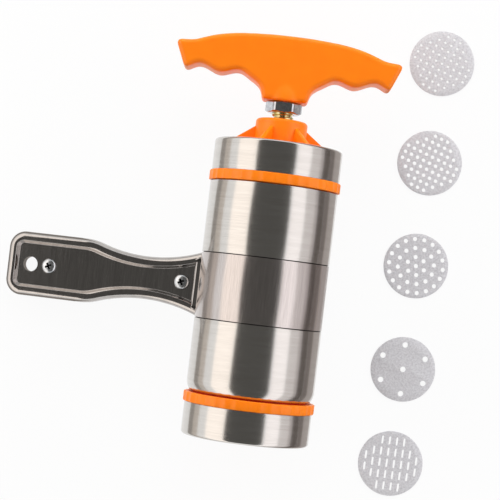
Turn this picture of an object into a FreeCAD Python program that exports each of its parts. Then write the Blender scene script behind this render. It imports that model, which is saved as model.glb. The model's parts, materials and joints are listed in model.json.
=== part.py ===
"""Hand cranked pasta extruder with a screw press and five loose dies.

Each piece is drawn with the press standing up: +Z along the barrel, z = 0 at the outlet rim,
the side handle towards -X and the front towards -Y. The set is then laid on the table as it is
shown: the press on its two grip rings and the tip of its handle, the dies flat beside it, with
the barrel along +Y and +Z up. Sizes are millimetres.
"""

import FreeCAD, Part
import math
import os

Vector = FreeCAD.Vector
AXIS = Vector(0, 0, 1)

# Steel barrel: an outer shell round a smooth liner, joined by a threaded collar at each end
barrel_length = 114.3
shell_radius = 35.0
sheet = 0.8
shoulder_rise = 5.9
shoulder_radius = 11.0
band_gap = 0.4
liner_wall = 1.0
liner_rise = 10.5
liner_lip = 3.0
collar_wall = 3.2
collar_flange_depth = 8.0
snug = 0.1

# Screw-on caps, each with a steel sleeve
outlet_sleeve_height = 17.9
top_cap_height = 22.9
cap_wall = 2.5
cap_clearance = 0.3
cap_lead_in = 0.8
cap_gap = 0.5
neck_gap = 0.9
grip_ring_height = 5.4
grip_stand_out = 1.0
grip_flutes = 36
flute_depth = 0.4
grip_chamfer = 0.5
seal_thickness = 1.4
seal_face_gap = 0.05
seal_inset = 0.3
rim_roll = 1.6
rim_lip = 2.2

# Top cap: deck, hub and ribs
deck_thickness = 3.0
hub_rise = 13.6
hub_radius = 14.2
hub_round = 2.0
rib_count = 6
rib_thickness = 2.6
rib_first_angle = 23.0
rib_drop = 4.6
rib_slope = 0.74
hub_nut_height = 10.0

# Outlet cap and die seat
web_bottom = 2.0
web_top = 6.5
die_diameter = 36.8
die_thickness = 1.0
die_clearance = 0.2
die_seat_depth = 1.1
die_ledge = 1.7

# Pressing screw and its nuts
screw_diameter = 12.0
screw_lead = 3.0
running = 0.05
nut_across_flats = 18.0
nut_corner_chamfer = 0.8
nut_chamfer_angle = 31.0
lock_nut_height = 6.1
lock_nut_gap = 3.7
journal_diameter = 8.0
handle_socket_depth = 22.0

# Plunger, at the place it is stored in
plunger_gap = 6.5
plunger_clearance = 0.3
plunger_plate = 3.0
plunger_height = 9.0
plunger_wall = 2.4
plunger_boss_wall = 5.0
plunger_boss_height = 12.0
plunger_rib_count = 6
plunger_rib_thickness = 2.0
plunger_edge = 0.8
plunger_rib_gap = 1.0
washer_diameter = 14.0
washer_thickness = 1.2
washer_clearance = 0.3
plunger_screw_shank = 4.0
plunger_screw_length = 12.0
plunger_screw_head = 7.2
plunger_head_height = 1.6
turning_gap = 0.15

# T-shaped crank
crank_height = 35.6
crank_half_length = 62.5
crank_thickness = 16.0
crank_edge_round = 2.2
crank_corner_round = 2.4
stem_foot_radius = 11.6
stem_waist_radius = 10.6
stem_waist_rise = 9.0
stem_rise = 22.0
stem_top_radius = 7.6
stem_spread = 13.0

# Side handle: two steel pressings bolted back to back; distances are from the band's surface
band_height = 35.4
band_rise = 39.6
handle_length = 112.3
handle_half_width = 17.9
handle_corner = 9.0
neck_half_width = 11.9
neck_length = 31.0
neck_radius = 84.0
handle_shoulder_radius = 30.0
bead_height = 5.0
bead_round = 3.4
bead_width = 5.6
bead_inner_slope = 1.6
recess_start = 3.6
panel_face = 2.1
handle_root_depth = 3.2
parting_gap = 0.3
hang_hole_radius = 4.2
hang_hole_from_tip = 13.3
outer_screw_from_tip = 24.7
inner_screw_length = 10.0
handle_screw_shank = 4.0
handle_screw_head = 8.2
handle_screw_head_height = 2.6
handle_nut_flats = 7.0
handle_nut_height = 2.8
thread_end = 0.6
head_side = 1.2
head_crown = 0.45
head_shoulder = 0.86
head_drop = 0.42

# The five dies: widths of holes and slots, and the bare rim left round each pattern
hole_sides = 8
grid_rim = 2.65
grid_reach = 4
grid_diagonal = 5
fine_hole = 1.5
medium_hole = 2.1
ring_rim = 3.0
ring_count = 3
ring_hole = 2.45
large_rim = 4.5
large_hole = 3.15
slot_rim = 4.0
slot_width = 1.2
slot_length = 4.7
slot_row_space = 1.75
slot_side_column = 3.5

# Where each die lies, from the barrel's axis and the outlet rim, and how far it is turned
die_places = {
    "die_fine_holes": (86.4, 222.2),
    "die_medium_holes": (86.1, 165.2),
    "die_ring_holes": (85.3, 106.2),
    "die_seven_holes": (84.9, 47.0),
    "die_slots": (84.1, -7.0),
}
fine_grid_turn = -21.1
medium_grid_turn = -19.8
ring_turn = 8.6
large_turn = 1.2
slot_turn = -1.4

# Radii that follow, from the barrel's skin inwards
grip_radius = shell_radius + grip_stand_out
shell_inside = shell_radius - sheet
waist_radius = shell_inside - snug
cap_outside = shell_inside - snug
cap_bore = cap_outside - cap_wall
collar_thread_radius = cap_bore - cap_clearance
liner_outside = collar_thread_radius - collar_wall - snug
bore_radius = liner_outside - liner_wall
die_radius = die_diameter / 2
outlet_radius = die_radius - die_ledge
screw_radius = screw_diameter / 2
plunger_boss_radius = journal_diameter / 2 + plunger_boss_wall

# Heights that follow, from the outlet rim upwards
outlet_ring_bottom = outlet_sleeve_height
outlet_ring_top = outlet_ring_bottom + grip_ring_height
barrel_bottom = outlet_ring_top + neck_gap
barrel_top = barrel_bottom + barrel_length
band_bottom = barrel_bottom + band_rise
band_top = band_bottom + band_height
band_middle = band_bottom + band_height / 2
liner_bottom = web_top + seal_thickness + 2 * seal_face_gap
liner_top = barrel_top + liner_rise
plunger_bottom = web_top + plunger_gap
boss_top = plunger_bottom + plunger_boss_height
top_ring_bottom = barrel_top + cap_gap
top_ring_top = top_ring_bottom + grip_ring_height
top_rim = top_ring_bottom + top_cap_height
deck_bottom = liner_top + seal_thickness + 2 * seal_face_gap
deck_top = deck_bottom + deck_thickness
hub_top = top_rim + hub_rise
rib_start_height = hub_top - rib_drop
lock_nut_bottom = hub_top + lock_nut_gap
lock_nut_top = lock_nut_bottom + lock_nut_height
stem_foot = lock_nut_top
crank_top = stem_foot + crank_height

# Places along the side handle that follow, from the barrel's axis outwards
recess_end = shell_radius + recess_start
inner_screw_distance = shell_radius + inner_screw_length
neck_distance = shell_radius + neck_length
handle_reach = shell_radius + handle_length
hang_hole_distance = handle_reach - hang_hole_from_tip
outer_screw_distance = handle_reach - outer_screw_from_tip
tip_centre = handle_reach - bead_round
bead_centre = bead_height - bead_round

# Pitches of the die patterns that follow
grid_pitch = (die_radius - grid_rim) / math.hypot(grid_reach, grid_diagonal - grid_reach)
ring_spacing = (die_radius - ring_rim) / ring_count
large_circle = die_radius - large_rim
slot_column_pitch = (die_radius - slot_rim) / slot_side_column
slot_row_pitch = slot_length + slot_row_space

# The handle sinks until the rounded rim at its tip rests on the table with the rings
handle_sink = math.degrees(
    math.asin((grip_radius - bead_round) / math.hypot(tip_centre, bead_centre))
    - math.atan2(bead_centre, tip_centre)
)


def wire(path, place):
    """A closed wire along flat points; a pair of points is an arc through the first to the second."""
    edges = []
    here = path[0]
    for step in path[1:] + path[:1]:
        if isinstance(step[0], tuple):
            through, end = step
            edges.append(Part.Arc(place(*here), place(*through), place(*end)).toShape())
        else:
            end = step
            edges.append(Part.LineSegment(place(*here), place(*end)).toShape())
        here = end
    return Part.Wire(edges)


def turned(path):
    """The solid swept by a closed (radius, height) path about the barrel's axis."""
    face = Part.Face(wire(path, lambda radius, height: Vector(radius, 0, height)))
    return face.revolve(Vector(0, 0, 0), AXIS, 360)


def tube(inside, outside, bottom, top):
    """A plain ring between two radii and two heights."""
    return turned([(inside, bottom), (outside, bottom), (outside, top), (inside, top)])


def rod(radius, bottom, top):
    """A plain round bar on the axis."""
    return Part.makeCylinder(radius, top - bottom, Vector(0, 0, bottom))


def hexagon(across_flats, bottom, height):
    """A hexagonal prism on the axis, with a flat to the front."""
    corner = across_flats / math.sqrt(3)
    points = [
        Vector(corner * math.cos(math.radians(60 * k)), corner * math.sin(math.radians(60 * k)), bottom)
        for k in range(6)
    ]
    return Part.Face(Part.makePolygon(points + points[:1])).extrude(AXIS * height)


def hex_nut(across_flats, hole_radius, bottom, height, chamfer):
    """A nut with its corners turned down at both faces."""
    corner = across_flats / math.sqrt(3)
    flat = corner - chamfer
    slope = chamfer * math.tan(math.radians(nut_chamfer_angle))
    turned_blank = turned(
        [(0, bottom), (flat, bottom), (corner, bottom + slope), (corner, bottom + height - slope),
         (flat, bottom + height), (0, bottom + height)]
    )
    blank = hexagon(across_flats, bottom, height).common(turned_blank)
    return blank.cut(rod(hole_radius, bottom, bottom + height))


def about_axis(shape, degrees):
    """A copy turned about the barrel's axis."""
    copy = shape.copy()
    copy.rotate(Vector(0, 0, 0), AXIS, degrees)
    return copy


def grip_ring(inside, bottom):
    """The fluted finger ring of a cap: shallow hollows between narrow crests."""
    step = 360 / grip_flutes

    def at(radius, degrees):
        angle = math.radians(degrees)
        return (radius * math.cos(angle), radius * math.sin(angle))

    path = [at(grip_radius, 0)]
    for k in range(1, grip_flutes):
        path.append((at(grip_radius - flute_depth, (k - 0.5) * step), at(grip_radius, k * step)))
    edges = wire(path, lambda x, y: Vector(x, y, bottom)).Edges[:-1]
    last = grip_flutes - 1
    closing = [at(grip_radius, last * step), at(grip_radius - flute_depth, (last + 0.5) * step), path[0]]
    edges.append(Part.Arc(*[Vector(x, y, bottom) for x, y in closing]).toShape())
    ring = Part.Face(Part.Wire(edges)).extrude(AXIS * grip_ring_height)
    top = bottom + grip_ring_height
    edge = grip_radius - grip_chamfer
    envelope = turned(
        [(inside, bottom), (edge, bottom), (grip_radius, bottom + grip_chamfer),
         (grip_radius, top - grip_chamfer), (edge, top), (inside, top)]
    )
    return ring.common(envelope)


def barrel_shell():
    """Outer tube: necked in for the handle band, and drawn in to a shoulder at the outlet end."""
    shoulder_top = barrel_bottom + shoulder_rise

    def drawn_in(radius, height):
        drop = shoulder_top - height
        return radius - (shoulder_radius - math.sqrt(shoulder_radius**2 - drop**2))

    middle = barrel_bottom + shoulder_rise / 2
    waist_inside = waist_radius - sheet
    low = band_bottom - band_gap
    high = band_top + band_gap
    return turned([
        (drawn_in(shell_radius, barrel_bottom), barrel_bottom),
        ((drawn_in(shell_radius, middle), middle), (shell_radius, shoulder_top)),
        (shell_radius, low), (waist_radius, low), (waist_radius, high), (shell_radius, high),
        (shell_radius, barrel_top), (shell_inside, barrel_top),
        (shell_inside, high + sheet), (waist_inside, high + sheet),
        (waist_inside, low - sheet), (shell_inside, low - sheet),
        (shell_inside, shoulder_top),
        ((drawn_in(shell_inside, middle), middle), (drawn_in(shell_inside, barrel_bottom), barrel_bottom)),
    ])


def barrel_liner():
    """Smooth food tube, flanged outwards over both collars."""
    lip = liner_outside + liner_lip
    low = liner_bottom + liner_wall
    high = liner_top - liner_wall
    return turned([
        (bore_radius, liner_bottom), (lip, liner_bottom), (lip, low), (liner_outside, low),
        (liner_outside, high), (lip, high), (lip, liner_top), (bore_radius, liner_top),
    ])


def upper_collar():
    """Threaded collar that carries the shell's upper end and takes the top cap."""
    inside = liner_outside + snug
    flange_top = barrel_top - snug * 2
    flange_bottom = flange_top - collar_flange_depth
    top = liner_top - liner_wall - snug
    return turned([
        (inside, flange_bottom), (waist_radius, flange_bottom), (waist_radius, flange_top),
        (collar_thread_radius, flange_top), (collar_thread_radius, top), (inside, top),
    ])


def lower_collar():
    """Threaded collar that sits in the shoulder and takes the outlet cap below it."""
    inside = liner_outside + snug
    bottom = liner_bottom + liner_wall + snug
    flange_bottom = barrel_bottom + shoulder_rise + snug
    flange_top = flange_bottom + collar_flange_depth
    return turned([
        (inside, bottom), (collar_thread_radius, bottom), (collar_thread_radius, flange_bottom),
        (waist_radius, flange_bottom), (waist_radius, flange_top), (inside, flange_top),
    ])


def handle_place(distance, across, depth):
    """A point on the side handle: distance from the axis, across its width, depth to the front."""
    return Vector(-distance, -depth, band_middle + across)


def handle_outline(inset, root, depth):
    """Outline of the handle drawn in by an inset: tip, grip, waisted neck and root, all tangent."""
    neck = (neck_distance, neck_half_width + neck_radius)
    shoulder_height = handle_half_width - handle_shoulder_radius
    reach = neck_radius + handle_shoulder_radius
    shoulder = (neck_distance + math.sqrt(reach**2 - (neck[1] - shoulder_height) ** 2), shoulder_height)
    corner = (handle_reach - handle_corner, handle_half_width - handle_corner)
    neck_arc = neck_radius + inset
    lean = math.atan2(shoulder[0] - neck[0], neck[1] - shoulder[1])
    root_lean = -math.asin((neck_distance - root) / neck_arc)

    def on_neck(angle):
        return (neck[0] + neck_arc * math.sin(angle), neck[1] - neck_arc * math.cos(angle))

    def on_round(centre, radius, angle):
        return (centre[0] + radius * math.sin(angle), centre[1] + radius * math.cos(angle))

    shoulder_arc = handle_shoulder_radius - inset
    corner_arc = handle_corner - inset
    side = [
        on_neck(root_lean),
        (on_neck((root_lean + lean) / 2), on_neck(lean)),
        (on_round(shoulder, shoulder_arc, -lean / 2), on_round(shoulder, shoulder_arc, 0)),
        on_round(corner, corner_arc, 0),
        (on_round(corner, corner_arc, math.pi / 4), on_round(corner, corner_arc, math.pi / 2)),
    ]

    def edges(mirror):
        made = []
        here = side[0]
        for step in side[1:]:
            through, end = step if isinstance(step[0], tuple) else (None, step)
            ends = [handle_place(p[0], mirror * p[1], depth) for p in (here, end)]
            if through:
                middle = handle_place(through[0], mirror * through[1], depth)
                made.append(Part.Arc(ends[0], middle, ends[1]).toShape())
            else:
                made.append(Part.LineSegment(*ends).toShape())
            here = end
        return made

    tip = [handle_place(handle_reach - inset, s * corner[1], depth) for s in (1, -1)]
    foot = [handle_place(root, s * side[0][1], depth) for s in (1, -1)]
    return Part.Wire(
        edges(1) + [Part.LineSegment(*tip).toShape()] + edges(-1)[::-1] + [Part.LineSegment(*foot).toShape()]
    )


def handle_half():
    """Front pressing: half of the band, and a hollow handle with a raised bead round a sunk panel.

    The hanging hole has a rim drawn down to the parting line, where it meets the other pressing.
    """
    toward_front = Vector(0, -1, 0)
    inside_root = shell_inside - handle_root_depth

    def tray(inset, height, rounding):
        body = Part.Face(handle_outline(inset, inside_root, 0)).extrude(toward_front * height)
        rim = [
            e for e in body.Edges
            if all(abs(v.Y + height) < 1e-6 for v in e.Vertexes) and e.BoundBox.XMin < -inside_root - 1
        ]
        return body.makeFillet(rounding, rim)

    def pocket(grow):
        floor = panel_face - grow
        inner = handle_outline(bead_width + bead_inner_slope / 2 - grow, recess_end - grow, floor)
        outer = handle_outline(
            bead_width - bead_inner_slope / 2 - grow, recess_end - bead_inner_slope - grow, bead_height + sheet
        )
        return Part.makeLoft([inner, outer], True, True)

    band = rod(shell_radius, band_bottom, band_top)
    skin = band.fuse(tray(0, bead_height, bead_round))
    skin = skin.cut(pocket(0))
    room = rod(shell_inside, band_bottom, band_top)
    room = room.fuse(tray(sheet, bead_height - sheet, bead_round - sheet)).cut(pocket(sheet))
    front = Part.makeBox(
        2 * handle_reach, 2 * shell_radius, 2 * handle_reach,
        Vector(-handle_reach - 1, -2 * shell_radius - parting_gap / 2, band_middle - handle_reach)
    )
    heights = Part.makeBox(
        2 * handle_reach, 4 * shell_radius, band_height,
        Vector(-handle_reach - 1, -2 * shell_radius, band_bottom)
    )
    drawn_rim = Part.makeCylinder(
        hang_hole_radius + sheet, panel_face, handle_place(hang_hole_distance, 0, 0), toward_front
    )
    half = skin.cut(room).fuse(drawn_rim).common(front).common(heights)
    for distance, radius in handle_holes():
        hole = Part.makeCylinder(
            radius, 4 * bead_height, handle_place(distance, 0, 2 * bead_height), Vector(0, 1, 0)
        )
        half = half.cut(hole)
    return half


def handle_holes():
    """Distance and radius of the hanging hole and the two screw holes."""
    clearance = handle_screw_shank / 2 + snug
    return [
        (hang_hole_distance, hang_hole_radius),
        (outer_screw_distance, clearance),
        (inner_screw_distance, clearance),
    ]


def turned_to_front(path, distance):
    """A turned piece whose own axis runs through the handle from rear to front."""
    piece = turned(path)
    piece.rotate(Vector(0, 0, 0), Vector(1, 0, 0), 90)
    piece.translate(handle_place(distance, 0, 0))
    return piece


def handle_screw(distance):
    """Pan-head screw from the front panel to its nut at the back."""
    radius = handle_screw_head / 2
    shank = handle_screw_shank / 2
    top = panel_face + handle_screw_head_height
    tail = -panel_face - handle_nut_height - thread_end
    side = panel_face + head_side
    return turned_to_front(
        [(0, tail), (shank - thread_end / 2, tail), (shank, tail + thread_end / 2), (shank, panel_face),
         (radius, panel_face), (radius, side),
         ((radius * head_shoulder, top - head_drop), (radius * head_crown, top)), (0, top)],
        distance,
    )


def handle_nut(distance):
    """Hexagon nut on the rear panel."""
    nut = hex_nut(
        handle_nut_flats, handle_screw_shank / 2 + running, -panel_face - handle_nut_height,
        handle_nut_height, nut_corner_chamfer / 2
    )
    nut.rotate(Vector(0, 0, 0), Vector(1, 0, 0), 90)
    nut.translate(handle_place(distance, 0, 0))
    return nut


def seal_ring(bottom):
    """Flat washer between a cap and the flanged end of the liner."""
    outside = liner_outside + liner_lip + seal_inset / 2
    return tube(bore_radius + seal_inset, outside, bottom, bottom + seal_thickness)


def top_cap():
    """Moulded cap: threaded skirt with a finger ring, a deck, and a ribbed hub for the screw."""
    skirt_top = top_rim - sheet - snug
    bend = hub_round * (1 - math.sqrt(0.5))
    body = turned([
        (0, deck_bottom), (cap_bore, deck_bottom), (cap_bore, top_ring_bottom + cap_lead_in),
        (cap_bore + cap_lead_in, top_ring_bottom), (cap_outside, top_ring_bottom),
        (cap_outside, skirt_top - rim_roll), (cap_outside - rim_roll, skirt_top),
        (cap_bore, skirt_top), (cap_bore, deck_top),
        (hub_radius, deck_top), (hub_radius, hub_top - hub_round),
        ((hub_radius - bend, hub_top - bend), (hub_radius - hub_round, hub_top)), (0, hub_top),
    ])
    body = body.fuse(grip_ring(cap_bore + cap_lead_in, top_ring_bottom))
    inner = hub_radius - hub_round
    outer = cap_bore + snug
    start = rib_start_height + rib_slope * (hub_radius - inner)
    end = rib_start_height - rib_slope * (outer - hub_radius)
    plate = wire(
        [(inner, deck_top - snug), (outer, deck_top - snug), (outer, end), (inner, start)],
        lambda radius, height: Vector(radius, -rib_thickness / 2, height),
    )
    rib = Part.Face(plate).extrude(Vector(0, rib_thickness, 0))
    for k in range(rib_count):
        body = body.fuse(about_axis(rib, -90 - rib_first_angle + k * 360 / rib_count))
    pocket = hexagon(nut_across_flats + 2 * snug, deck_bottom, hub_nut_height + snug)
    bore = rod(screw_radius + cap_clearance, deck_bottom, hub_top)
    return body.cut(pocket).cut(bore).removeSplitter()


def top_cap_sleeve():
    """Steel sleeve on the top cap, with its upper edge rolled in over the skirt."""
    bottom = top_ring_top + snug
    return rolled_sleeve(bottom, top_rim, 1)


def rolled_sleeve(open_end, rolled_end, way):
    """A thin sleeve with one edge rolled inwards; way is 1 for an upper edge and -1 for a lower one."""
    turn = rolled_end - way * rim_roll
    centre = shell_radius - rim_roll
    lip = shell_radius - rim_lip - sheet
    bend = math.sqrt(0.5)
    return turned([
        (shell_radius, open_end), (shell_radius, turn),
        ((centre + rim_roll * bend, turn + way * rim_roll * bend), (centre, rolled_end)),
        (lip, rolled_end), (lip, rolled_end - way * sheet), (centre, rolled_end - way * sheet),
        (shell_inside, turn), (shell_inside, open_end),
    ])


def hub_nut():
    """Steel nut moulded up into the hub, where it takes the push of the screw."""
    return hex_nut(
        nut_across_flats, screw_radius + running, deck_bottom, hub_nut_height, nut_corner_chamfer
    )


def outlet_cap():
    """Moulded outlet cap: threaded skirt with a finger ring, and a web with the seat for a die."""
    seat = die_radius + die_clearance
    skirt_bottom = sheet + snug
    foot = cap_outside - rim_roll
    body = turned([
        (outlet_radius, web_bottom), (cap_bore - cap_lead_in, web_bottom),
        (cap_bore - cap_lead_in, skirt_bottom), (foot, skirt_bottom), (cap_outside, skirt_bottom + rim_roll),
        (cap_outside, outlet_ring_top), (cap_bore + cap_lead_in, outlet_ring_top),
        (cap_bore, outlet_ring_top - cap_lead_in), (cap_bore, web_top), (seat, web_top),
        (seat, web_top - die_seat_depth), (outlet_radius, web_top - die_seat_depth),
    ])
    return body.fuse(grip_ring(cap_bore + cap_lead_in, outlet_ring_bottom)).removeSplitter()


def outlet_sleeve():
    """Steel sleeve on the outlet cap; its rolled lower edge is the rim that the press can stand on."""
    return rolled_sleeve(outlet_ring_bottom - snug, 0, -1)


def screw_rod():
    """Pressing screw: threaded bar, with a slim journal that the plunger hangs on."""
    journal = journal_diameter / 2
    tail = plunger_bottom + plunger_plate
    body = rod(screw_radius, boss_top + turning_gap, stem_foot + handle_socket_depth)
    body = body.fuse(rod(journal, tail - turning_gap, boss_top + turning_gap + 1))
    tapped = rod(plunger_screw_shank / 2, tail - 1, tail + plunger_screw_length)
    return body.cut(tapped).removeSplitter()


def crank_outline():
    """The T of the crank as a flat wire: crowned top, ends leaning in, finger scallops and a stem."""
    depth = -crank_thickness / 2

    def curve(points):
        spline = Part.BSplineCurve()
        spline.interpolate([Vector(across, depth, height) for across, height in points])
        return spline.toShape()

    end_top = (crank_half_length, crank_top - 8.4)
    end_foot = (crank_half_length - 6.6, crank_top - 24.4)
    crown = [end_top, (56.5, crank_top - 8.2), (51.2, crank_top - 7.6), (46.4, crank_top - 5.9),
             (40.6, crank_top - 3.9), (32.0, crank_top - 2.0), (17.0, crank_top - 0.5), (0, crank_top)]
    scallops = [end_foot, (47.9, crank_top - 20.4), (36.2, crank_top - 24.0), (25.4, crank_top - 21.6),
                (18.4, crank_top - 25.0), (14.0, crank_top - 29.2), (stem_foot_radius, stem_foot)]
    edges = [curve(crown + [(-across, height) for across, height in crown[-2::-1]])]
    for side in (1, -1):
        ends = [Vector(side * across, depth, height) for across, height in (end_top, end_foot)]
        edges.append(Part.LineSegment(*ends).toShape())
        edges.append(curve([(side * across, height) for across, height in scallops]))
    feet = [Vector(side * stem_foot_radius, depth, stem_foot) for side in (1, -1)]
    edges.append(Part.LineSegment(*feet).toShape())
    return Part.Wire(Part.__sortEdges__(edges))


def t_handle():
    """Moulded T of the crank, thick and round-edged, on a round stem with a socket for the screw."""
    blade = Part.Face(crank_outline()).extrude(Vector(0, crank_thickness, 0))
    grips = [e for e in blade.Edges if e.BoundBox.ZMax > stem_foot + snug]
    corners = [e for e in grips if e.BoundBox.YLength > crank_thickness / 2]
    blade = blade.makeFillet(crank_corner_round, corners)
    grips = [e for e in blade.Edges if e.BoundBox.ZMax > stem_foot + snug]
    rims = [e for e in grips if e.BoundBox.YLength < crank_thickness / 2]
    blade = blade.makeFillet(crank_edge_round, rims)
    waist = stem_foot + stem_waist_rise
    stem = turned([(0, stem_foot), (stem_foot_radius, stem_foot), (stem_waist_radius, waist),
                   (stem_top_radius, stem_foot + stem_rise), (0, stem_foot + stem_rise)])
    spread = stem_foot + stem_spread
    slender = turned([(0, stem_foot), (stem_foot_radius, stem_foot), (crank_half_length, spread),
                      (crank_half_length, crank_top), (0, crank_top)])
    socket = rod(screw_radius + running, stem_foot, stem_foot + handle_socket_depth + snug)
    return blade.common(slender).fuse(stem).cut(socket).removeSplitter()


def plunger():
    """Moulded piston: plate, rim wall and ribs round a boss that turns freely on the screw."""
    radius = bore_radius - plunger_clearance
    top = plunger_bottom + plunger_height
    plate_top = plunger_bottom + plunger_plate
    wall = radius - plunger_wall
    body = turned([
        (0, plunger_bottom), (radius - plunger_edge, plunger_bottom),
        (radius, plunger_bottom + plunger_edge), (radius, top),
        (wall, top), (wall, plate_top), (plunger_boss_radius, plate_top),
        (plunger_boss_radius, boss_top), (0, boss_top),
    ])
    rib = Part.makeBox(
        wall - plunger_boss_radius + 2 * snug, plunger_rib_thickness,
        plunger_height - plunger_plate - plunger_rib_gap + snug,
        Vector(plunger_boss_radius - snug, -plunger_rib_thickness / 2, plate_top - snug)
    )
    for k in range(plunger_rib_count):
        body = body.fuse(about_axis(rib, k * 360 / plunger_rib_count))
    bore = rod(journal_diameter / 2 + 2 * running, plunger_bottom, boss_top)
    recess = rod(washer_diameter / 2 + washer_clearance, plunger_bottom, plate_top)
    return body.cut(bore).cut(recess).removeSplitter()


def plunger_washer():
    """Washer that holds the plunger on the journal."""
    top = plunger_bottom + plunger_plate - turning_gap
    return tube(plunger_screw_shank / 2 + running, washer_diameter / 2, top - washer_thickness, top)


def plunger_screw():
    """Pan-head screw in the end of the journal, sunk in the plunger's face."""
    seat = plunger_bottom + plunger_plate - turning_gap - washer_thickness
    head = seat - plunger_head_height
    shank = plunger_screw_shank / 2
    return turned([
        (0, head), (plunger_screw_head / 2 - thread_end, head), (plunger_screw_head / 2, head + thread_end),
        (plunger_screw_head / 2, seat), (shank, seat), (shank, seat + plunger_screw_length),
        (0, seat + plunger_screw_length),
    ])


def die_disc(outlines):
    """A die: a flat disc centred on the origin, with every outline cut through it."""
    cutters = [Part.Face(outline).extrude(AXIS * die_thickness) for outline in outlines]
    return Part.makeCylinder(die_radius, die_thickness).cut(Part.makeCompound(cutters))


def hole(x, y, diameter):
    """Outline of one small hole, a polygon as wide as the round hole it stands for."""
    radius = diameter / 2
    points = []
    for k in range(hole_sides):
        angle = 2 * math.pi * (k + 0.5) / hole_sides
        points.append(Vector(x + radius * math.cos(angle), y + radius * math.sin(angle), 0))
    return Part.makePolygon(points + points[:1])


def holes_on_circle(radius, count, diameter):
    """Outlines of evenly spaced holes, the first one towards +Y."""
    angles = [2 * math.pi * k / count for k in range(count)]
    return [hole(-radius * math.sin(angle), radius * math.cos(angle), diameter) for angle in angles]


def grid_die(diameter, turn):
    """Square grid of holes with its corners left off."""
    steps = range(-grid_reach, grid_reach + 1)
    kept = [(i, j) for i in steps for j in steps if abs(i) + abs(j) <= grid_diagonal]
    disc = die_disc([hole(i * grid_pitch, j * grid_pitch, diameter) for i, j in kept])
    return about_axis(disc, turn)


def ring_die():
    """Centre hole and three rings of six, twelve and eighteen."""
    outlines = [hole(0, 0, ring_hole)]
    for ring in range(1, ring_count + 1):
        outlines += holes_on_circle(ring * ring_spacing, 6 * ring, ring_hole)
    return about_axis(die_disc(outlines), ring_turn)


def seven_hole_die():
    """Centre hole and six more, for thick noodles."""
    disc = die_disc([hole(0, 0, large_hole)] + holes_on_circle(large_circle, 6, large_hole))
    return about_axis(disc, large_turn)


def slot_die():
    """Short slots for flat noodles: three full rows, two short ones, and a pair at each side."""

    def slot(column, row):
        x, y = column * slot_column_pitch, row * slot_row_pitch
        corners = [
            Vector(x + side * slot_width / 2, y + end * slot_length / 2, 0)
            for side, end in ((-1, -1), (1, -1), (1, 1), (-1, 1))
        ]
        return Part.makePolygon(corners + corners[:1])

    places = [(column - 2.5, row) for row in (-1, 0, 1) for column in range(6)]
    places += [(column - 1.5, row) for row in (-2, 2) for column in range(4)]
    places += [(side * slot_side_column, row) for side in (-1, 1) for row in (-0.5, 0.5)]
    return about_axis(die_disc([slot(*place) for place in places]), slot_turn)


def laid_down(shape, turn=0.0):
    """The standing press laid on its rings, with the barrel along +Y, after a turn about its axis."""
    copy = about_axis(shape, turn)
    copy.rotate(Vector(0, 0, 0), Vector(1, 0, 0), -90)
    copy.translate(Vector(0, 0, grip_radius))
    return copy


def set_pieces():
    """Every piece where it lies on the table, before the whole set is centred on the origin."""
    front = handle_half()
    rear = front.mirror(Vector(0, 0, 0), Vector(0, 1, 0))
    screws = [outer_screw_distance, inner_screw_distance]
    sunk = {
        "handle_front": front,
        "handle_rear": rear,
        "handle_screws": Part.makeCompound([handle_screw(d) for d in screws]),
        "handle_nuts": Part.makeCompound([handle_nut(d) for d in screws]),
    }
    standing = {
        "barrel_shell": barrel_shell(),
        "barrel_liner": barrel_liner(),
        "upper_collar": upper_collar(),
        "lower_collar": lower_collar(),
        "top_seal": seal_ring(liner_top + seal_face_gap),
        "top_cap": top_cap(),
        "top_cap_sleeve": top_cap_sleeve(),
        "hub_nut": hub_nut(),
        "plunger": plunger(),
        "screw_rod": screw_rod(),
        "t_handle": t_handle(),
        "lock_nut": hex_nut(nut_across_flats, screw_radius + running, lock_nut_bottom,
                            lock_nut_height, nut_corner_chamfer),
        "plunger_washer": plunger_washer(),
        "plunger_screw": plunger_screw(),
        "outlet_seal": seal_ring(web_top + seal_face_gap),
        "outlet_cap": outlet_cap(),
        "outlet_sleeve": outlet_sleeve(),
    }
    dies = {
        "die_fine_holes": grid_die(fine_hole, fine_grid_turn),
        "die_medium_holes": grid_die(medium_hole, medium_grid_turn),
        "die_ring_holes": ring_die(),
        "die_seven_holes": seven_hole_die(),
        "die_slots": slot_die(),
    }
    pieces = {name: laid_down(shape, -handle_sink) for name, shape in sunk.items()}
    pieces.update({name: laid_down(shape) for name, shape in standing.items()})
    for name, shape in dies.items():
        shape.translate(Vector(*die_places[name], 0))
        pieces[name] = shape
    return pieces


def set_centre(pieces):
    """The point on the table under the middle of the set's box."""
    box = Part.makeCompound(list(pieces.values())).optimalBoundingBox(False, False)
    return Vector(box.Center.x, box.Center.y, 0)


def main():
    os.makedirs("parts", exist_ok=True)
    pieces = set_pieces()
    centre = set_centre(pieces)
    for name, shape in pieces.items():
        shape.translate(-centre)
        shape.exportStep("parts/" + name + ".step")
    print("centre of the set", centre, "handle sink", handle_sink)


main()
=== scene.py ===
"""Finishes for a hand cranked pasta extruder: brushed steel, orange mouldings, plated fasteners, dies.

The press lies on a table with its barrel along +Y and its side handle towards -X. Turned pieces
are outlines of (radius, distance along the barrel), spun about the barrel's axis. Metres.
"""

import bmesh
import bpy
import json
import math
from mathutils import Matrix, Vector
from mathutils.geometry import interpolate_bezier

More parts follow.
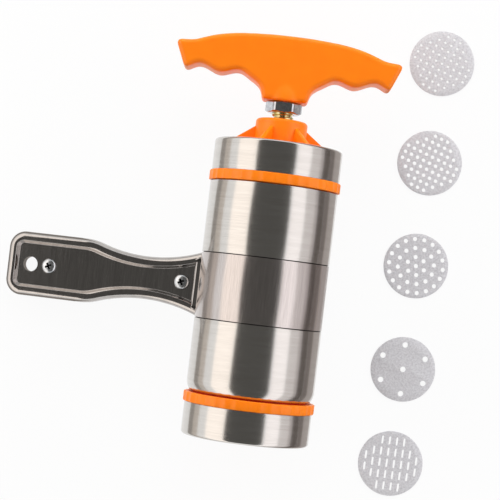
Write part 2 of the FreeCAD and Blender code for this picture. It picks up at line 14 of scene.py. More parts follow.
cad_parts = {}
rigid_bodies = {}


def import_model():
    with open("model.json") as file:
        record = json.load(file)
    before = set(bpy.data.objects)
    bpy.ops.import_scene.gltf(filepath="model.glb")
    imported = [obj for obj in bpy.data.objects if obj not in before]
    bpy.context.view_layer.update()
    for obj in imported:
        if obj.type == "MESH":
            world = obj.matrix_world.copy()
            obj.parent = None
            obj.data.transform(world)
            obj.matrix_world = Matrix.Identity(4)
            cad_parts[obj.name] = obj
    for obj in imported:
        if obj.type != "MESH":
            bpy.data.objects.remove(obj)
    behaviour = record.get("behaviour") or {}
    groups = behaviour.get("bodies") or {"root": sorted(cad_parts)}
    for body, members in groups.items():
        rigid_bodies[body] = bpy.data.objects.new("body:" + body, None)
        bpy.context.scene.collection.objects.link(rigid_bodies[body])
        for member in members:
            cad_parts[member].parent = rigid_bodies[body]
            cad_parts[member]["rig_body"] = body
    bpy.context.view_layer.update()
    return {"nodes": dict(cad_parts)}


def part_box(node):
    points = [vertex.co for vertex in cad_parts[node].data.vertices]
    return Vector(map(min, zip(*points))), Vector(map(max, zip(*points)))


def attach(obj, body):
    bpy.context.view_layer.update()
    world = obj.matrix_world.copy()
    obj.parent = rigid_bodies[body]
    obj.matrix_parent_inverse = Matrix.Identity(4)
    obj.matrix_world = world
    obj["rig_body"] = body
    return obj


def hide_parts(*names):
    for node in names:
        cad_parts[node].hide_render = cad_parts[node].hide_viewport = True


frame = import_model()

MM = 0.001
TURN = 2 * math.pi

# Sheet and fits, as the pieces are made
SHEET = 0.8 * MM
SNUG = 0.1 * MM
EDGE = 0.12 * MM
RUNNING = 0.05 * MM

# Barrel
SHOULDER_RISE = 5.9 * MM
SHOULDER_RADIUS = 11.0 * MM
BAND_GAP = 0.4 * MM
LINER_WALL = 1.0 * MM
LINER_LIP = 3.0 * MM
CAP_WALL = 2.5 * MM
CAP_THREAD_PITCH = 4.0 * MM
CAP_THREAD_DEPTH = 0.25 * MM

# Caps
GRIP_FLUTES = 36
GRIP_STAND_OUT = 1.0 * MM
FLUTE_DEPTH = 0.5 * MM
GRIP_HEIGHT = 5.4 * MM
GRIP_CHAMFER = 0.5 * MM
RIM_ROLL = 1.6 * MM
RIM_LIP = 2.2 * MM
DECK = 3.0 * MM
HUB_RADIUS = 14.2 * MM
HUB_ROUND = 2.0 * MM
RIB_COUNT = 6
RIB_THICKNESS = 2.6 * MM
RIB_FIRST = -23
RIB_DROP = 4.6 * MM
RIB_SLOPE = 0.74
WEB_BOTTOM = 2.0 * MM
WEB_TOP = 6.5 * MM
DIE_SEAT = 1.1 * MM
DIE_LEDGE = 1.7 * MM
DIE_CLEARANCE = 0.2 * MM

# Screw
SCREW_PITCH = 3.0 * MM
THREAD_DEPTH = 1.1 * MM
JOURNAL_RADIUS = 4.0 * MM
NUT_FLATS = 18.0 * MM
NUT_CORNER = 1.3 * MM
NUT_CHAMFER = 1.9 * MM

# Crank
CRANK_THICKNESS = 16.0 * MM
CRANK_ROUND = 2.2 * MM
CRANK_CORNER = 3.0 * MM
CRANK_GRAIN = 0.5 * MM
CRANK_BLEND = 24
STEM_OVAL = 0.75
SOCKET_DEPTH = 22.1 * MM

# Side handle
BEAD_HEIGHT = 5.0 * MM
BEAD_ROUND = 3.4 * MM
BEAD_WIDTH = 5.6 * MM
BEAD_SLOPE = 1.6 * MM
PARTING = 0.3 * MM
HANDLE_CORNER = 9.0 * MM
HANDLE_HALF_WIDTH = 17.9 * MM
HANDLE_LENGTH = 112.3 * MM
HANDLE_SHOULDER = 30.0 * MM
NECK_HALF_WIDTH = 11.9 * MM
NECK_LENGTH = 31.0 * MM
NECK_RADIUS = 86.0 * MM
RECESS_START = 3.6 * MM
PANEL_FACE = 2.1 * MM
PANEL_STRIP = 0.3 * MM
HANG_HOLE_RADIUS = 4.2 * MM
HANG_HOLE_FROM_TIP = 13.3 * MM
OUTER_SCREW_FROM_TIP = 24.7 * MM
INNER_SCREW_LENGTH = 10.0 * MM
SCREW_HEAD = 8.2 * MM
SCREW_HEAD_HEIGHT = 2.6 * MM
SCREW_SHANK = 4.0 * MM
NUT_FLATS_SMALL = 7.0 * MM
NUT_HEIGHT_SMALL = 2.8 * MM

# Dies
DIE_RIM_SOFT = 0.15 * MM

# Places read from the frame
shell_low, shell_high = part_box("barrel_shell")
AXIS = (shell_low + shell_high) / 2
AXIS.y = 0
SHELL_RADIUS = (shell_high.x - shell_low.x) / 2


def span(node):
    """Where a node starts and ends along the barrel."""
    low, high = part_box(node)
    return low.y, high.y


def reach(node):
    """Outer radius of a node that is round about the barrel's axis."""
    low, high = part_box(node)
    return (high.x - low.x) / 2


THREAD_RADIUS = reach("top_cap_sleeve") - SHEET - SNUG - CAP_WALL - 0.3 * MM


def linear(colour):
    """A hex sRGB colour as linear red, green, blue and alpha."""
    parts = [int(colour[i:i + 2], 16) / 255 for i in (1, 3, 5)]
    return [c / 12.92 if c <= 0.04045 else ((c + 0.055) / 1.055) ** 2.4 for c in parts] + [1]


def add(tree, kind, inputs=None, stops=(), **settings):
    """Adds a node: settings are its own values, inputs are values or sockets, stops fill a colour ramp."""
    made = tree.nodes.new(kind)
    for key, value in settings.items():
        setattr(made, key, value)
    for key, value in (inputs or {}).items():
        if isinstance(value, bpy.types.NodeSocket):
            tree.links.new(value, made.inputs[key])
        else:
            made.inputs[key].default_value = value
    for element, (place, colour) in zip(made.color_ramp.elements if stops else (), stops):
        element.position = place
        element.color = linear(colour)
    return made


def new_material(name, **values):
    """A material with its shader; values with no pattern go straight on the shader's sockets."""
    made = bpy.data.materials.new(name)
    made.use_nodes = True
    tree = made.node_tree
    shader = tree.nodes["Principled BSDF"]
    for key, value in values.items():
        shader.inputs[key.replace("_", " ")].default_value = value
    return made, tree, shader


def round_the_axis(tree):
    """Direction round the barrel at each point, for brushing that follows the tube."""
    place = add(tree, "ShaderNodeTexCoord").outputs["Object"]
    spoke = add(tree, "ShaderNodeVectorMath", {0: place, 1: (AXIS.x, 0, AXIS.z)}, operation="SUBTRACT")
    around = add(
        tree, "ShaderNodeVectorMath", {0: spoke.outputs[0], 1: (0, 1, 0)}, operation="CROSS_PRODUCT"
    )
    return around.outputs[0]


def brushed(name, base, dark, scratch_mm, stretch, along, roughness, **values):
    """Stainless sheet with a ground finish: fine scratches one way, long soft streaks with them."""
    made, tree, shader = new_material(name, Metallic=1.0, **values)
    place = add(tree, "ShaderNodeTexCoord").outputs["Object"]
    fine = 1 / (scratch_mm * MM)
    long = fine / stretch
    scale = (fine, long, fine) if along else (long, fine, long)
    lines = add(tree, "ShaderNodeMapping", {"Vector": place, "Scale": scale}).outputs[0]
    scratches = add(
        tree, "ShaderNodeTexNoise", {"Vector": lines, "Scale": 1.0, "Detail": 3.0, "Roughness": 0.6}
    ).outputs["Fac"]
    broad = add(
        tree, "ShaderNodeMapping", {"Vector": place, "Scale": [s / 14 for s in scale]}
    ).outputs[0]
    streaks = add(
        tree, "ShaderNodeTexNoise", {"Vector": broad, "Scale": 1.0, "Detail": 2.0}
    ).outputs["Fac"]
    both = add(
        tree, "ShaderNodeMix", {"Factor": 0.25, "A": scratches, "B": streaks}, data_type="FLOAT"
    ).outputs["Result"]
    colour = add(tree, "ShaderNodeValToRGB", {"Fac": both}, [(0.3, dark), (0.62, base)]).outputs[0]
    rough = add(
        tree, "ShaderNodeMapRange",
        {"Value": scratches, "From Min": 0.25, "From Max": 0.75, "To Min": roughness * 0.8,
         "To Max": roughness * 1.25}
    ).outputs[0]
    bump = add(
        tree, "ShaderNodeBump", {"Height": scratches, "Strength": 0.04, "Distance": 0.02 * MM}
    ).outputs[0]
    if along:
        grain = add(tree, "ShaderNodeCombineXYZ", {"Y": 1.0}).outputs[0]
    else:
        grain = round_the_axis(tree)
    tree.links.new(colour, shader.inputs["Base Color"])
    tree.links.new(rough, shader.inputs["Roughness"])
    tree.links.new(bump, shader.inputs["Normal"])
    tree.links.new(grain, shader.inputs["Tangent"])
    return made


def moulded(name, colour, worn, grain_mm, roughness, depth, **values):
    """Injection moulded plastic: even colour, a faint mottle, and the tool's fine spark grain."""
    made, tree, shader = new_material(name, **values)
    place = add(tree, "ShaderNodeTexCoord").outputs["Object"]
    mottle = add(
        tree, "ShaderNodeTexNoise", {"Vector": place, "Scale": 1 / (9 * MM), "Detail": 2.0}
    ).outputs["Fac"]
    grain = add(
        tree, "ShaderNodeTexNoise",
        {"Vector": place, "Scale": 1 / (grain_mm * MM), "Detail": 3.0, "Roughness": 0.6}
    ).outputs["Fac"]
    paint = add(tree, "ShaderNodeValToRGB", {"Fac": mottle}, [(0.3, worn), (0.7, colour)]).outputs[0]
    rough = add(
        tree, "ShaderNodeMapRange",
        {"Value": grain, "To Min": roughness * 0.8, "To Max": roughness * 1.2}
    ).outputs[0]
    bump = add(
        tree, "ShaderNodeBump", {"Height": grain, "Strength": 0.12, "Distance": depth * MM}
    ).outputs[0]
    tree.links.new(paint, shader.inputs["Base Color"])
    tree.links.new(rough, shader.inputs["Roughness"])
    tree.links.new(bump, shader.inputs["Normal"])
    return made


def plated(name, bright, dull, roughness):
    """Zinc plate on a steel fastener: bright, with cloudy patches from the bath."""
    made, tree, shader = new_material(name, Metallic=1.0)
    place = add(tree, "ShaderNodeTexCoord").outputs["Object"]
    clouds = add(
        tree, "ShaderNodeTexNoise", {"Vector": place, "Scale": 1 / (2.2 * MM), "Detail": 4.0}
    ).outputs["Fac"]
    fine = add(
        tree, "ShaderNodeTexNoise", {"Vector": place, "Scale": 1 / (0.25 * MM), "Detail": 2.0}
    ).outputs["Fac"]
    colour = add(tree, "ShaderNodeValToRGB", {"Fac": clouds}, [(0.32, dull), (0.62, bright)]).outputs[0]
    rough = add(
        tree, "ShaderNodeMapRange",
        {"Value": clouds, "To Min": roughness * 1.4, "To Max": roughness * 0.7}
    ).outputs[0]
    bump = add(
        tree, "ShaderNodeBump", {"Height": fine, "Strength": 0.1, "Distance": 0.03 * MM}
    ).outputs[0]
    tree.links.new(colour, shader.inputs["Base Color"])
    tree.links.new(rough, shader.inputs["Roughness"])
    tree.links.new(bump, shader.inputs["Normal"])
    return made


def tumbled_aluminium(name, light, dark):
    """Stamped and tumbled aluminium: dull, faintly mottled, with tiny dents that scatter the light."""
    made, tree, shader = new_material(name, Metallic=0.4)
    place = add(tree, "ShaderNodeTexCoord").outputs["Object"]
    mottle = add(
        tree, "ShaderNodeTexNoise", {"Vector": place, "Scale": 1 / (1.1 * MM), "Detail": 6.0, "Roughness": 0.7}
    ).outputs["Fac"]
    dents = add(
        tree, "ShaderNodeTexNoise", {"Vector": place, "Scale": 1 / (0.5 * MM), "Detail": 2.0}
    ).outputs["Fac"]
    colour = add(tree, "ShaderNodeValToRGB", {"Fac": mottle}, [(0.35, dark), (0.6, light)]).outputs[0]
    rough = add(
        tree, "ShaderNodeMapRange", {"Value": dents, "To Min": 0.42, "To Max": 0.62}
    ).outputs[0]
    bump = add(
        tree, "ShaderNodeBump", {"Height": dents, "Strength": 0.2, "Distance": 0.05 * MM}
    ).outputs[0]
    tree.links.new(colour, shader.inputs["Base Color"])
    tree.links.new(rough, shader.inputs["Roughness"])
    tree.links.new(bump, shader.inputs["Normal"])
    return made


# Ground stainless sheet: on tubes the scratches run round, so the reflections stay in straight bands
sleeve_steel = brushed("stainless_brushed_round", "#D9D6D2", "#C9C5C0", 0.22, 80, False, 0.12, Anisotropic=0.75)
# The band is ground along the barrel, so its reflections blur into each other round the barrel
band_steel = brushed("stainless_brushed_along", "#D2CBC8", "#B9B2AF", 0.22, 60, True, 0.2, Anisotropic=0.5)
# The groove wall beside the band is left as drawn, and its dark colour is painted shade, so the groove reads as
# a dark line
painted_shade_groove_steel = brushed("stainless_dull_groove_painted_shade", "#3B3736", "#2A2727", 0.5, 10, False, 0.55)
# Pressed plate, rolled bright: nearly a mirror, with only a trace of grinding across it
plate_steel = brushed("stainless_pressed_plate", "#C6C2BF", "#A6A29F", 0.25, 50, True, 0.09, Anisotropic=0.2)
liner_steel = brushed("stainless_drawn_liner", "#CFCBC6", "#BAB6B1", 0.6, 50, False, 0.14, Anisotropic=0.5)
# Moulded ABS, even orange with a satin skin; a little light enters it, so its edges glow
orange_abs = moulded(
    "orange_abs_moulded", "#FF8303", "#FD7F02", 0.5, 0.36, 0.02,
    Specular_IOR_Level=0.25, Subsurface_Weight=0.08, Subsurface_Scale=0.002, Subsurface_Radius=(1.0, 0.4, 0.1)
)
# The outlet collar's deeper red is painted shade: it stands for the shaded gap above its cap, where it shows as
# a dark red line
gap_shade_red_abs = moulded("red_abs_painted_gap_shade", "#F23C0A", "#E63808", 0.5, 0.4, 0.02)
white_acetal = moulded("white_acetal_moulded", "#ECE9E2", "#E3DFD6", 0.6, 0.38, 0.02)
seal_silicone = moulded("white_silicone_seal", "#D9D6CF", "#CFCBC2", 0.8, 0.55, 0.03)
bright_zinc = plated("bright_zinc_plate", "#D3D4D8", "#B9BBC0", 0.16)
dull_zinc = plated("dull_zinc_plate", "#E2E5E8", "#BFC4C8", 0.24)
# Dark zinc for the inside of the screws' cross recesses: painted shade
painted_recess_shade = plated("shadowed_recess", "#3A3B3E", "#26272A", 0.5)
yellow_zinc = plated("yellow_zinc_plate", "#EADFAE", "#CDB66F", 0.2)
die_aluminium = tumbled_aluminium("tumbled_aluminium_die", "#E6E7EB", "#CCCCD1")


def put(bm, name, material, *stands_for, rest_sharp=35):
    """Turns a bmesh into a finished piece that stands for CAD nodes and rides with their body."""
    bmesh.ops.remove_doubles(bm, verts=bm.verts, dist=1e-7)
    bmesh.ops.recalc_face_normals(bm, faces=bm.faces)
    mesh = bpy.data.meshes.new(name)
    bm.to_mesh(mesh)
    bm.free()
    mesh.shade_smooth()
    mesh.set_sharp_from_angle(angle=math.radians(rest_sharp))
    mesh.materials.append(material)
    piece = bpy.data.objects.new(name, mesh)
    bpy.context.scene.collection.objects.link(piece)
    first = stands_for[0]
    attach(piece, frame["nodes"][first]["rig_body"])
    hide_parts(*stands_for)
    return piece


def arc(centre, radius, start, end, steps=6):
    """Points along an arc in an outline, from one angle to another, in degrees."""
    angles = [math.radians(start + (end - start) * k / steps) for k in range(steps + 1)]
    return [(centre[0] + radius * math.cos(a), centre[1] + radius * math.sin(a)) for a in angles]


def spin_outline(bm, outline, steps=192, angle=TURN, lift=0.0, start=0.0):
    """Spins a closed (radius, distance) outline about the barrel's axis; an edge on the axis is left out."""
    verts = [bm.verts.new((AXIS.x + radius, along, AXIS.z)) for radius, along in outline]
    pairs = zip(verts, verts[1:] + verts[:1])
    edges = [bm.edges.new(pair) for pair in pairs if any(v.co.x > AXIS.x for v in pair)]
    turn = Matrix.Rotation(start, 3, "Y")
    bmesh.ops.rotate(bm, verts=verts, cent=AXIS, matrix=turn)
    full = abs(angle - TURN) < 1e-9 and lift == 0
    bmesh.ops.spin(
        bm, geom=verts + edges, cent=AXIS, axis=(0, 1, 0), dvec=(0, lift, 0), angle=angle,
        steps=steps, use_merge=full, use_duplicate=False
    )


def soften(bm, width, segments=2, sharper_than=40):
    """Rounds every edge that is sharper than an angle."""
    limit = math.radians(sharper_than)
    bmesh.ops.remove_doubles(bm, verts=bm.verts, dist=1e-7)
    bmesh.ops.recalc_face_normals(bm, faces=bm.faces)
    edges = [e for e in bm.edges if len(e.link_faces) == 2 and e.calc_face_angle(0) > limit]
    bmesh.ops.bevel(
        bm, geom=edges, offset=width, segments=segments, profile=0.5, affect="EDGES",
        clamp_overlap=True, material=-1
    )


def turned(name, outline, material, *stands_for, edge=EDGE, steps=192):
    """A turned piece of one outline, with its corners just broken."""
    bm = bmesh.new()
    spin_outline(bm, outline, steps)
    soften(bm, edge)
    return put(bm, name, material, *stands_for)


def ring_outline(inside, outside, low, high):
    """Outline of a plain ring."""
    return [(inside, low), (outside, low), (outside, high), (inside, high)]


def merge_in(bm, other):
    """Moves another bmesh's geometry into this one."""
    mesh = bpy.data.meshes.new("passing")
    other.to_mesh(mesh)
    other.free()
    bm.from_mesh(mesh)
    bpy.data.meshes.remove(mesh)


def helical_ridge(low, high, root, crest, pitch, width, steps=32):
    """A thread as one closed ridge wound round the axis; its foot is buried in the core."""
    bm = bmesh.new()
    turns = (high - low - width) / pitch
    foot = width / 2
    top = foot * 0.35
    outline = [
        (root - THREAD_DEPTH / 4, low), (crest, low + foot - top), (crest, low + foot + top),
        (root - THREAD_DEPTH / 4, low + width),
    ]
    count = round(steps * turns)
    spin_outline(bm, outline, count, turns * TURN, pitch * turns / count)
    bmesh.ops.holes_fill(bm, edges=[e for e in bm.edges if e.is_boundary], sides=4)
    return bm


def cut(bm, cutters, operation="DIFFERENCE"):
    """A bmesh cut by another one."""
    made = []
    for source in (bm, cutters):
        bmesh.ops.remove_doubles(source, verts=source.verts, dist=1e-7)
        bmesh.ops.recalc_face_normals(source, faces=source.faces)
        mesh = bpy.data.meshes.new("cutting")
        source.to_mesh(mesh)
        source.free()
        made.append(bpy.data.objects.new("cutting", mesh))
        bpy.context.scene.collection.objects.link(made[-1])
    body, tool = made
    modifier = body.modifiers.new("cut", "BOOLEAN")
    modifier.operation = operation
    modifier.solver = "EXACT"
    modifier.object = tool
    result = bpy.data.meshes.new_from_object(body.evaluated_get(bpy.context.evaluated_depsgraph_get()))
    out = bmesh.new()
    out.from_mesh(result)
    for thing in made:
        mesh = thing.data
        bpy.data.objects.remove(thing)
        bpy.data.meshes.remove(mesh)
    bpy.data.meshes.remove(result)
    return out


# Barrel

def barrel_shell():
    """Outer tube, necked in under the handle band and drawn in to a shoulder at the outlet."""
    low, high = span("barrel_shell")
    band_low, band_high = span("handle_front")
    outside, inside = SHELL_RADIUS, SHELL_RADIUS - SHEET
    waist = inside - SNUG
    shoulder = low + SHOULDER_RISE
    lean = math.degrees(math.asin(SHOULDER_RISE / SHOULDER_RADIUS))
    neck_low, neck_high = band_low - BAND_GAP, band_high + BAND_GAP
    outline = arc((outside - SHOULDER_RADIUS, shoulder), SHOULDER_RADIUS, -lean, 0, 8)
    outline += [(outside, neck_low), (waist, neck_low), (waist, neck_high), (outside, neck_high)]
    outline += [(outside, high), (inside, high), (inside, neck_high + SHEET)]
    outline += [(waist - SHEET, neck_high + SHEET), (waist - SHEET, neck_low - SHEET)]
    outline += [(inside, neck_low - SHEET)]
    outline += arc((inside - SHOULDER_RADIUS, shoulder), SHOULDER_RADIUS, 0, -lean, 8)
    shell = turned("steel_barrel", outline, sleeve_steel, "barrel_shell", edge=0.25 * MM)
    shell.data.materials.append(painted_shade_groove_steel)
    # The neck faces inside the groove beside the band get the dark groove colour: painted shade
    for face in shell.data.polygons:
        out = math.hypot(face.center.x - AXIS.x, face.center.z - AXIS.z)
        face.material_index = int(neck_low <= face.center.y <= neck_high and out < outside - 0.3 * MM)


def barrel_liner():
    """Smooth food tube with its ends flanged outwards."""
    low, high = span("barrel_liner")
    lip = reach("barrel_liner")
    outside = lip - LINER_LIP
    bore = outside - LINER_WALL
    outline = [
        (bore, low), (lip, low), (lip, low + LINER_WALL), (outside, low + LINER_WALL),
        (outside, high - LINER_WALL), (lip, high - LINER_WALL), (lip, high), (bore, high),
    ]
    turned("food_tube", outline, liner_steel, "barrel_liner", edge=0.3 * MM)


def threaded_collar(name, node, plastic, outline, thread_low, thread_high):
    """Threaded collar at one end of the barrel, its thread a wound ridge on the plain collar."""
    bm = bmesh.new()
    spin_outline(bm, outline)
    soften(bm, 0.3 * MM)
    ridge = helical_ridge(
        thread_low, thread_high, THREAD_RADIUS, THREAD_RADIUS + CAP_THREAD_DEPTH, CAP_THREAD_PITCH,
        CAP_THREAD_PITCH * 0.5, steps=72
    )
    merge_in(bm, ridge)
    put(bm, name, plastic, node)


def collars():
    """The two collars, each a flange inside the shell and a thread that stands out of it."""
    inside = reach("barrel_liner") - LINER_LIP + SNUG
    shell_bottom, shell_top = span("barrel_shell")
    low, high = span("upper_collar")
    flange = reach("upper_collar")
    flange_high = shell_top - SNUG
    upper = [(inside, low), (flange, low), (flange, flange_high), (THREAD_RADIUS, flange_high),
             (THREAD_RADIUS, high), (inside, high)]
    threaded_collar("upper_thread", "upper_collar", orange_abs, upper, shell_top + 0.5 * MM, high - 0.3 * MM)
    low, high = span("lower_collar")
    flange = reach("lower_collar")
    flange_low = shell_bottom + SHOULDER_RISE + SNUG
    lower = [(inside, low), (THREAD_RADIUS, low), (THREAD_RADIUS, flange_low), (flange, flange_low),
             (flange, high), (inside, high)]
    # The lower collar takes the deeper red that is painted shade for the gap above its cap
    threaded_collar("lower_thread", "lower_collar", gap_shade_red_abs, lower, low + 0.3 * MM, shell_bottom - 0.5 * MM)


# Caps

def grip_ring(low, inside):
    """The finger ring of a cap: shallow hollows between narrow crests, its edges broken."""
    bm = bmesh.new()
    crest = reach("barrel_shell") + GRIP_STAND_OUT
    outer = bmesh.ops.create_circle(bm, segments=GRIP_FLUTES * 6, radius=crest)["verts"]
    for v in outer:
        share = math.atan2(v.co.y, v.co.x) / TURN * GRIP_FLUTES
        hollow = 4 * (share % 1) * (1 - share % 1)
        v.co *= 1 - hollow * FLUTE_DEPTH / crest
    bmesh.ops.create_circle(bm, segments=GRIP_FLUTES * 6, radius=inside)
    bmesh.ops.bridge_loops(bm, edges=bm.edges[:])
    lifted = bmesh.ops.extrude_face_region(bm, geom=bm.faces[:])
    top = [v for v in lifted["geom"] if isinstance(v, bmesh.types.BMVert)]
    bmesh.ops.translate(bm, verts=top, vec=(0, 0, GRIP_HEIGHT))
    bmesh.ops.recalc_face_normals(bm, faces=bm.faces)
    rims = [e for e in bm.edges if e.calc_face_angle(0) > 1.2 and e.verts[0].co.xy.length > inside * 1.02]
    bmesh.ops.bevel(
        bm, geom=rims, offset=GRIP_CHAMFER, segments=3, profile=0.5, affect="EDGES", material=-1
    )
    bmesh.ops.rotate(bm, verts=bm.verts, cent=(0, 0, 0), matrix=Matrix.Rotation(-math.pi / 2, 3, "X"))
    bmesh.ops.translate(bm, verts=bm.verts, vec=(AXIS.x, low, AXIS.z))
    return bm


def rib(inner, outer, bottom, start, end):
    """One sloping rib of the top cap, at the front of the hub."""
    bm = bmesh.new()
    half = RIB_THICKNESS / 2
    profile = [(inner, bottom), (outer, bottom), (outer, end), (inner, start)]
    verts = [bm.verts.new((AXIS.x - half, along, AXIS.z + radius)) for radius, along in profile]
    face = bm.faces.new(verts)
    made = bmesh.ops.extrude_face_region(bm, geom=[face])
    moved = [v for v in made["geom"] if isinstance(v, bmesh.types.BMVert)]
    bmesh.ops.translate(bm, verts=moved, vec=(RIB_THICKNESS, 0, 0))
    soften(bm, 0.5 * MM, 3)
    return bm


def top_cap():
    """Orange cap at the crank end: skirt, deck, ribbed hub and finger ring."""
    low, hub_top = span("top_cap")
    rim = span("top_cap_sleeve")[1]
    deck_low = span("hub_nut")[0]
    outside = SHELL_RADIUS - SHEET - SNUG
    bore = outside - CAP_WALL
    skirt_top = rim - SHEET - SNUG
    screw = reach("screw_rod") + 0.3 * MM
    deck_high = deck_low + DECK
    nut_top = span("hub_nut")[1] + SNUG
    outline = [
        (screw, nut_top), (NUT_FLATS / 2, nut_top), (NUT_FLATS / 2, deck_low), (bore, deck_low),
        (bore, low + 0.8 * MM), (bore + 0.8 * MM, low), (outside, low), (outside, skirt_top - RIM_ROLL),
        (outside - RIM_ROLL, skirt_top), (bore, skirt_top), (bore, deck_high), (HUB_RADIUS, deck_high),
    ]
    outline += arc((HUB_RADIUS - HUB_ROUND, hub_top - HUB_ROUND), HUB_ROUND, 0, 90)
    outline += [(screw, hub_top)]
    bm = bmesh.new()
    spin_outline(bm, outline)
    soften(bm, 0.25 * MM)
    start = hub_top - RIB_DROP + RIB_SLOPE * 2 * MM
    end = hub_top - RIB_DROP - RIB_SLOPE * (bore - HUB_RADIUS)
    for k in range(RIB_COUNT):
        one = rib(HUB_RADIUS - 2 * MM, bore + 0.3 * MM, deck_high - 1 * MM, start, end)
        turn = Matrix.Rotation(math.radians(RIB_FIRST + k * 360 / RIB_COUNT), 3, "Y")
        bmesh.ops.rotate(one, verts=one.verts, cent=AXIS, matrix=turn)
        merge_in(bm, one)
    merge_in(bm, grip_ring(low, bore + 0.8 * MM))
    put(bm, "orange_top_cap", orange_abs, "top_cap")


def outlet_cap():
    """Orange cap at the outlet end: skirt, web with the die seat, and finger ring."""
    web_foot, high = span("outlet_cap")
    rim = span("outlet_sleeve")[0]
    outside = SHELL_RADIUS - SHEET - SNUG
    bore = outside - CAP_WALL
    seat = reach("die_ring_holes") + DIE_CLEARANCE
    hole = reach("die_ring_holes") - DIE_LEDGE
    foot = outside - RIM_ROLL
    outline = [
        (hole, rim + WEB_BOTTOM), (bore - 0.8 * MM, rim + WEB_BOTTOM), (bore - 0.8 * MM, web_foot),
        (foot, web_foot), (outside, web_foot + RIM_ROLL), (outside, high), (bore + 0.8 * MM, high),
        (bore, high - 0.8 * MM), (bore, rim + WEB_TOP), (seat, rim + WEB_TOP),
        (seat, rim + WEB_TOP - DIE_SEAT), (hole, rim + WEB_TOP - DIE_SEAT),
    ]
    bm = bmesh.new()
    spin_outline(bm, outline)
    soften(bm, 0.25 * MM)
    merge_in(bm, grip_ring(high - GRIP_HEIGHT, bore + 0.8 * MM))
    put(bm, "orange_outlet_cap", orange_abs, "outlet_cap")


def rolled_sleeve(name, node, way):
    """Steel sleeve of a cap with one edge rolled in; way is 1 for the crank end, -1 for the outlet."""
    ends = span(node)
    open_end, rim = ends if way > 0 else ends[::-1]
    radius = reach(node)
    centre = (radius - RIM_ROLL, rim - way * RIM_ROLL)
    lip = radius - RIM_LIP - SHEET
    outline = [(radius, open_end)] + arc(centre, RIM_ROLL, 0, 90 * way)
    outline += [(lip, rim), (lip, rim - way * SHEET)]
    outline += arc(centre, RIM_ROLL - SHEET, 90 * way, 0)
    outline += [(radius - SHEET, open_end)]
    turned(name, outline, sleeve_steel, node)


def seal(name, node):
    """Flat silicone seal ring."""
    low, high = span(node)
    inside = reach("barrel_liner") - LINER_LIP - LINER_WALL + 0.3 * MM
    turned(name, ring_outline(inside, reach(node), low, high), seal_silicone, node, edge=0.3 * MM)


# Screw, nuts and plunger

def hexagon(flats, low, high, chamfer, hole):
    """A nut on the barrel's axis, a flat to the front, its corners turned down at both faces."""
    corner = flats / math.sqrt(3)
    bm = bmesh.new()
    bmesh.ops.create_circle(bm, cap_ends=True, segments=6, radius=corner)
    lifted = bmesh.ops.extrude_face_region(bm, geom=bm.faces[:])
    top = [v for v in lifted["geom"] if isinstance(v, bmesh.types.BMVert)]
    bmesh.ops.translate(bm, verts=top, vec=(0, 0, high - low))
    upright = [e for e in bm.edges if abs(e.verts[0].co.z - e.verts[1].co.z) > (high - low) / 2]
    bmesh.ops.bevel(
        bm, geom=upright, offset=NUT_CORNER, segments=4, profile=0.5, affect="EDGES", material=-1
    )
    turn = Matrix.Rotation(-math.pi / 2, 3, "X") @ Matrix.Rotation(math.pi / 6, 3, "Z")
    bmesh.ops.rotate(bm, verts=bm.verts, cent=(0, 0, 0), matrix=turn)
    bmesh.ops.translate(bm, verts=bm.verts, vec=(AXIS.x, low, AXIS.z))
    blank = bmesh.new()
    flat = corner - chamfer
    rise = chamfer * 0.58
    outline = [
        (hole, low), (flat, low), (corner, low + rise), (corner, high - rise), (flat, high), (hole, high),
    ]
    spin_outline(blank, outline, 96)
    return cut(bm, blank, "INTERSECT")


def nut(name, node):
    """A plated hexagon nut on the pressing screw."""
    low, high = span(node)
    bm = hexagon(NUT_FLATS, low, high, NUT_CHAMFER, reach("screw_rod") + RUNNING)
    soften(bm, 0.3 * MM, 3, 24)
    put(bm, name, bright_zinc, node, rest_sharp=30)


def screw_rod():
    """Pressing screw: a core with a wound thread, and the slim journal that carries the plunger."""
    low, high = span("screw_rod")
    crest = reach("screw_rod")
    core = crest - THREAD_DEPTH
    shoulder = span("plunger")[1] + 0.15 * MM
    outline = [(0, low), (JOURNAL_RADIUS, low), (JOURNAL_RADIUS, shoulder), (core, shoulder),
               (core, high), (0, high)]
    bm = bmesh.new()
    spin_outline(bm, outline, 64)
    soften(bm, 0.25 * MM)
    ridge = helical_ridge(shoulder + 0.4 * MM, high - 0.4 * MM, core, crest, SCREW_PITCH, SCREW_PITCH * 0.92)
    merge_in(bm, ridge)
    put(bm, "pressing_screw", yellow_zinc, "screw_rod")


def plunger():
    """White piston: face plate, rim wall, six ribs and the boss round the journal."""
    low, high = span("plunger")
    radius = reach("plunger")
    wall = radius - 2.4 * MM
    plate = low + 3 * MM
    rim = low + 9 * MM
    boss = JOURNAL_RADIUS + 5 * MM
    bore = JOURNAL_RADIUS + 0.1 * MM
    recess = 7.3 * MM
    outline = [
        (recess, low), (radius - 0.8 * MM, low), (radius, low + 0.8 * MM), (radius, rim), (wall, rim),
        (wall, plate), (boss, plate), (boss, high), (bore, high), (bore, plate), (recess, plate),
    ]
    bm = bmesh.new()
    spin_outline(bm, outline)
    soften(bm, 0.3 * MM)
    for k in range(RIB_COUNT):
        one = rib(boss - 0.5 * MM, wall + 0.5 * MM, plate - 0.2 * MM, rim - 1 * MM, rim - 1 * MM)
        turn = Matrix.Rotation(math.radians(90 + k * 360 / RIB_COUNT), 3, "Y")
        bmesh.ops.rotate(one, verts=one.verts, cent=AXIS, matrix=turn)
        merge_in(bm, one)
    put(bm, "white_plunger", white_acetal, "plunger")


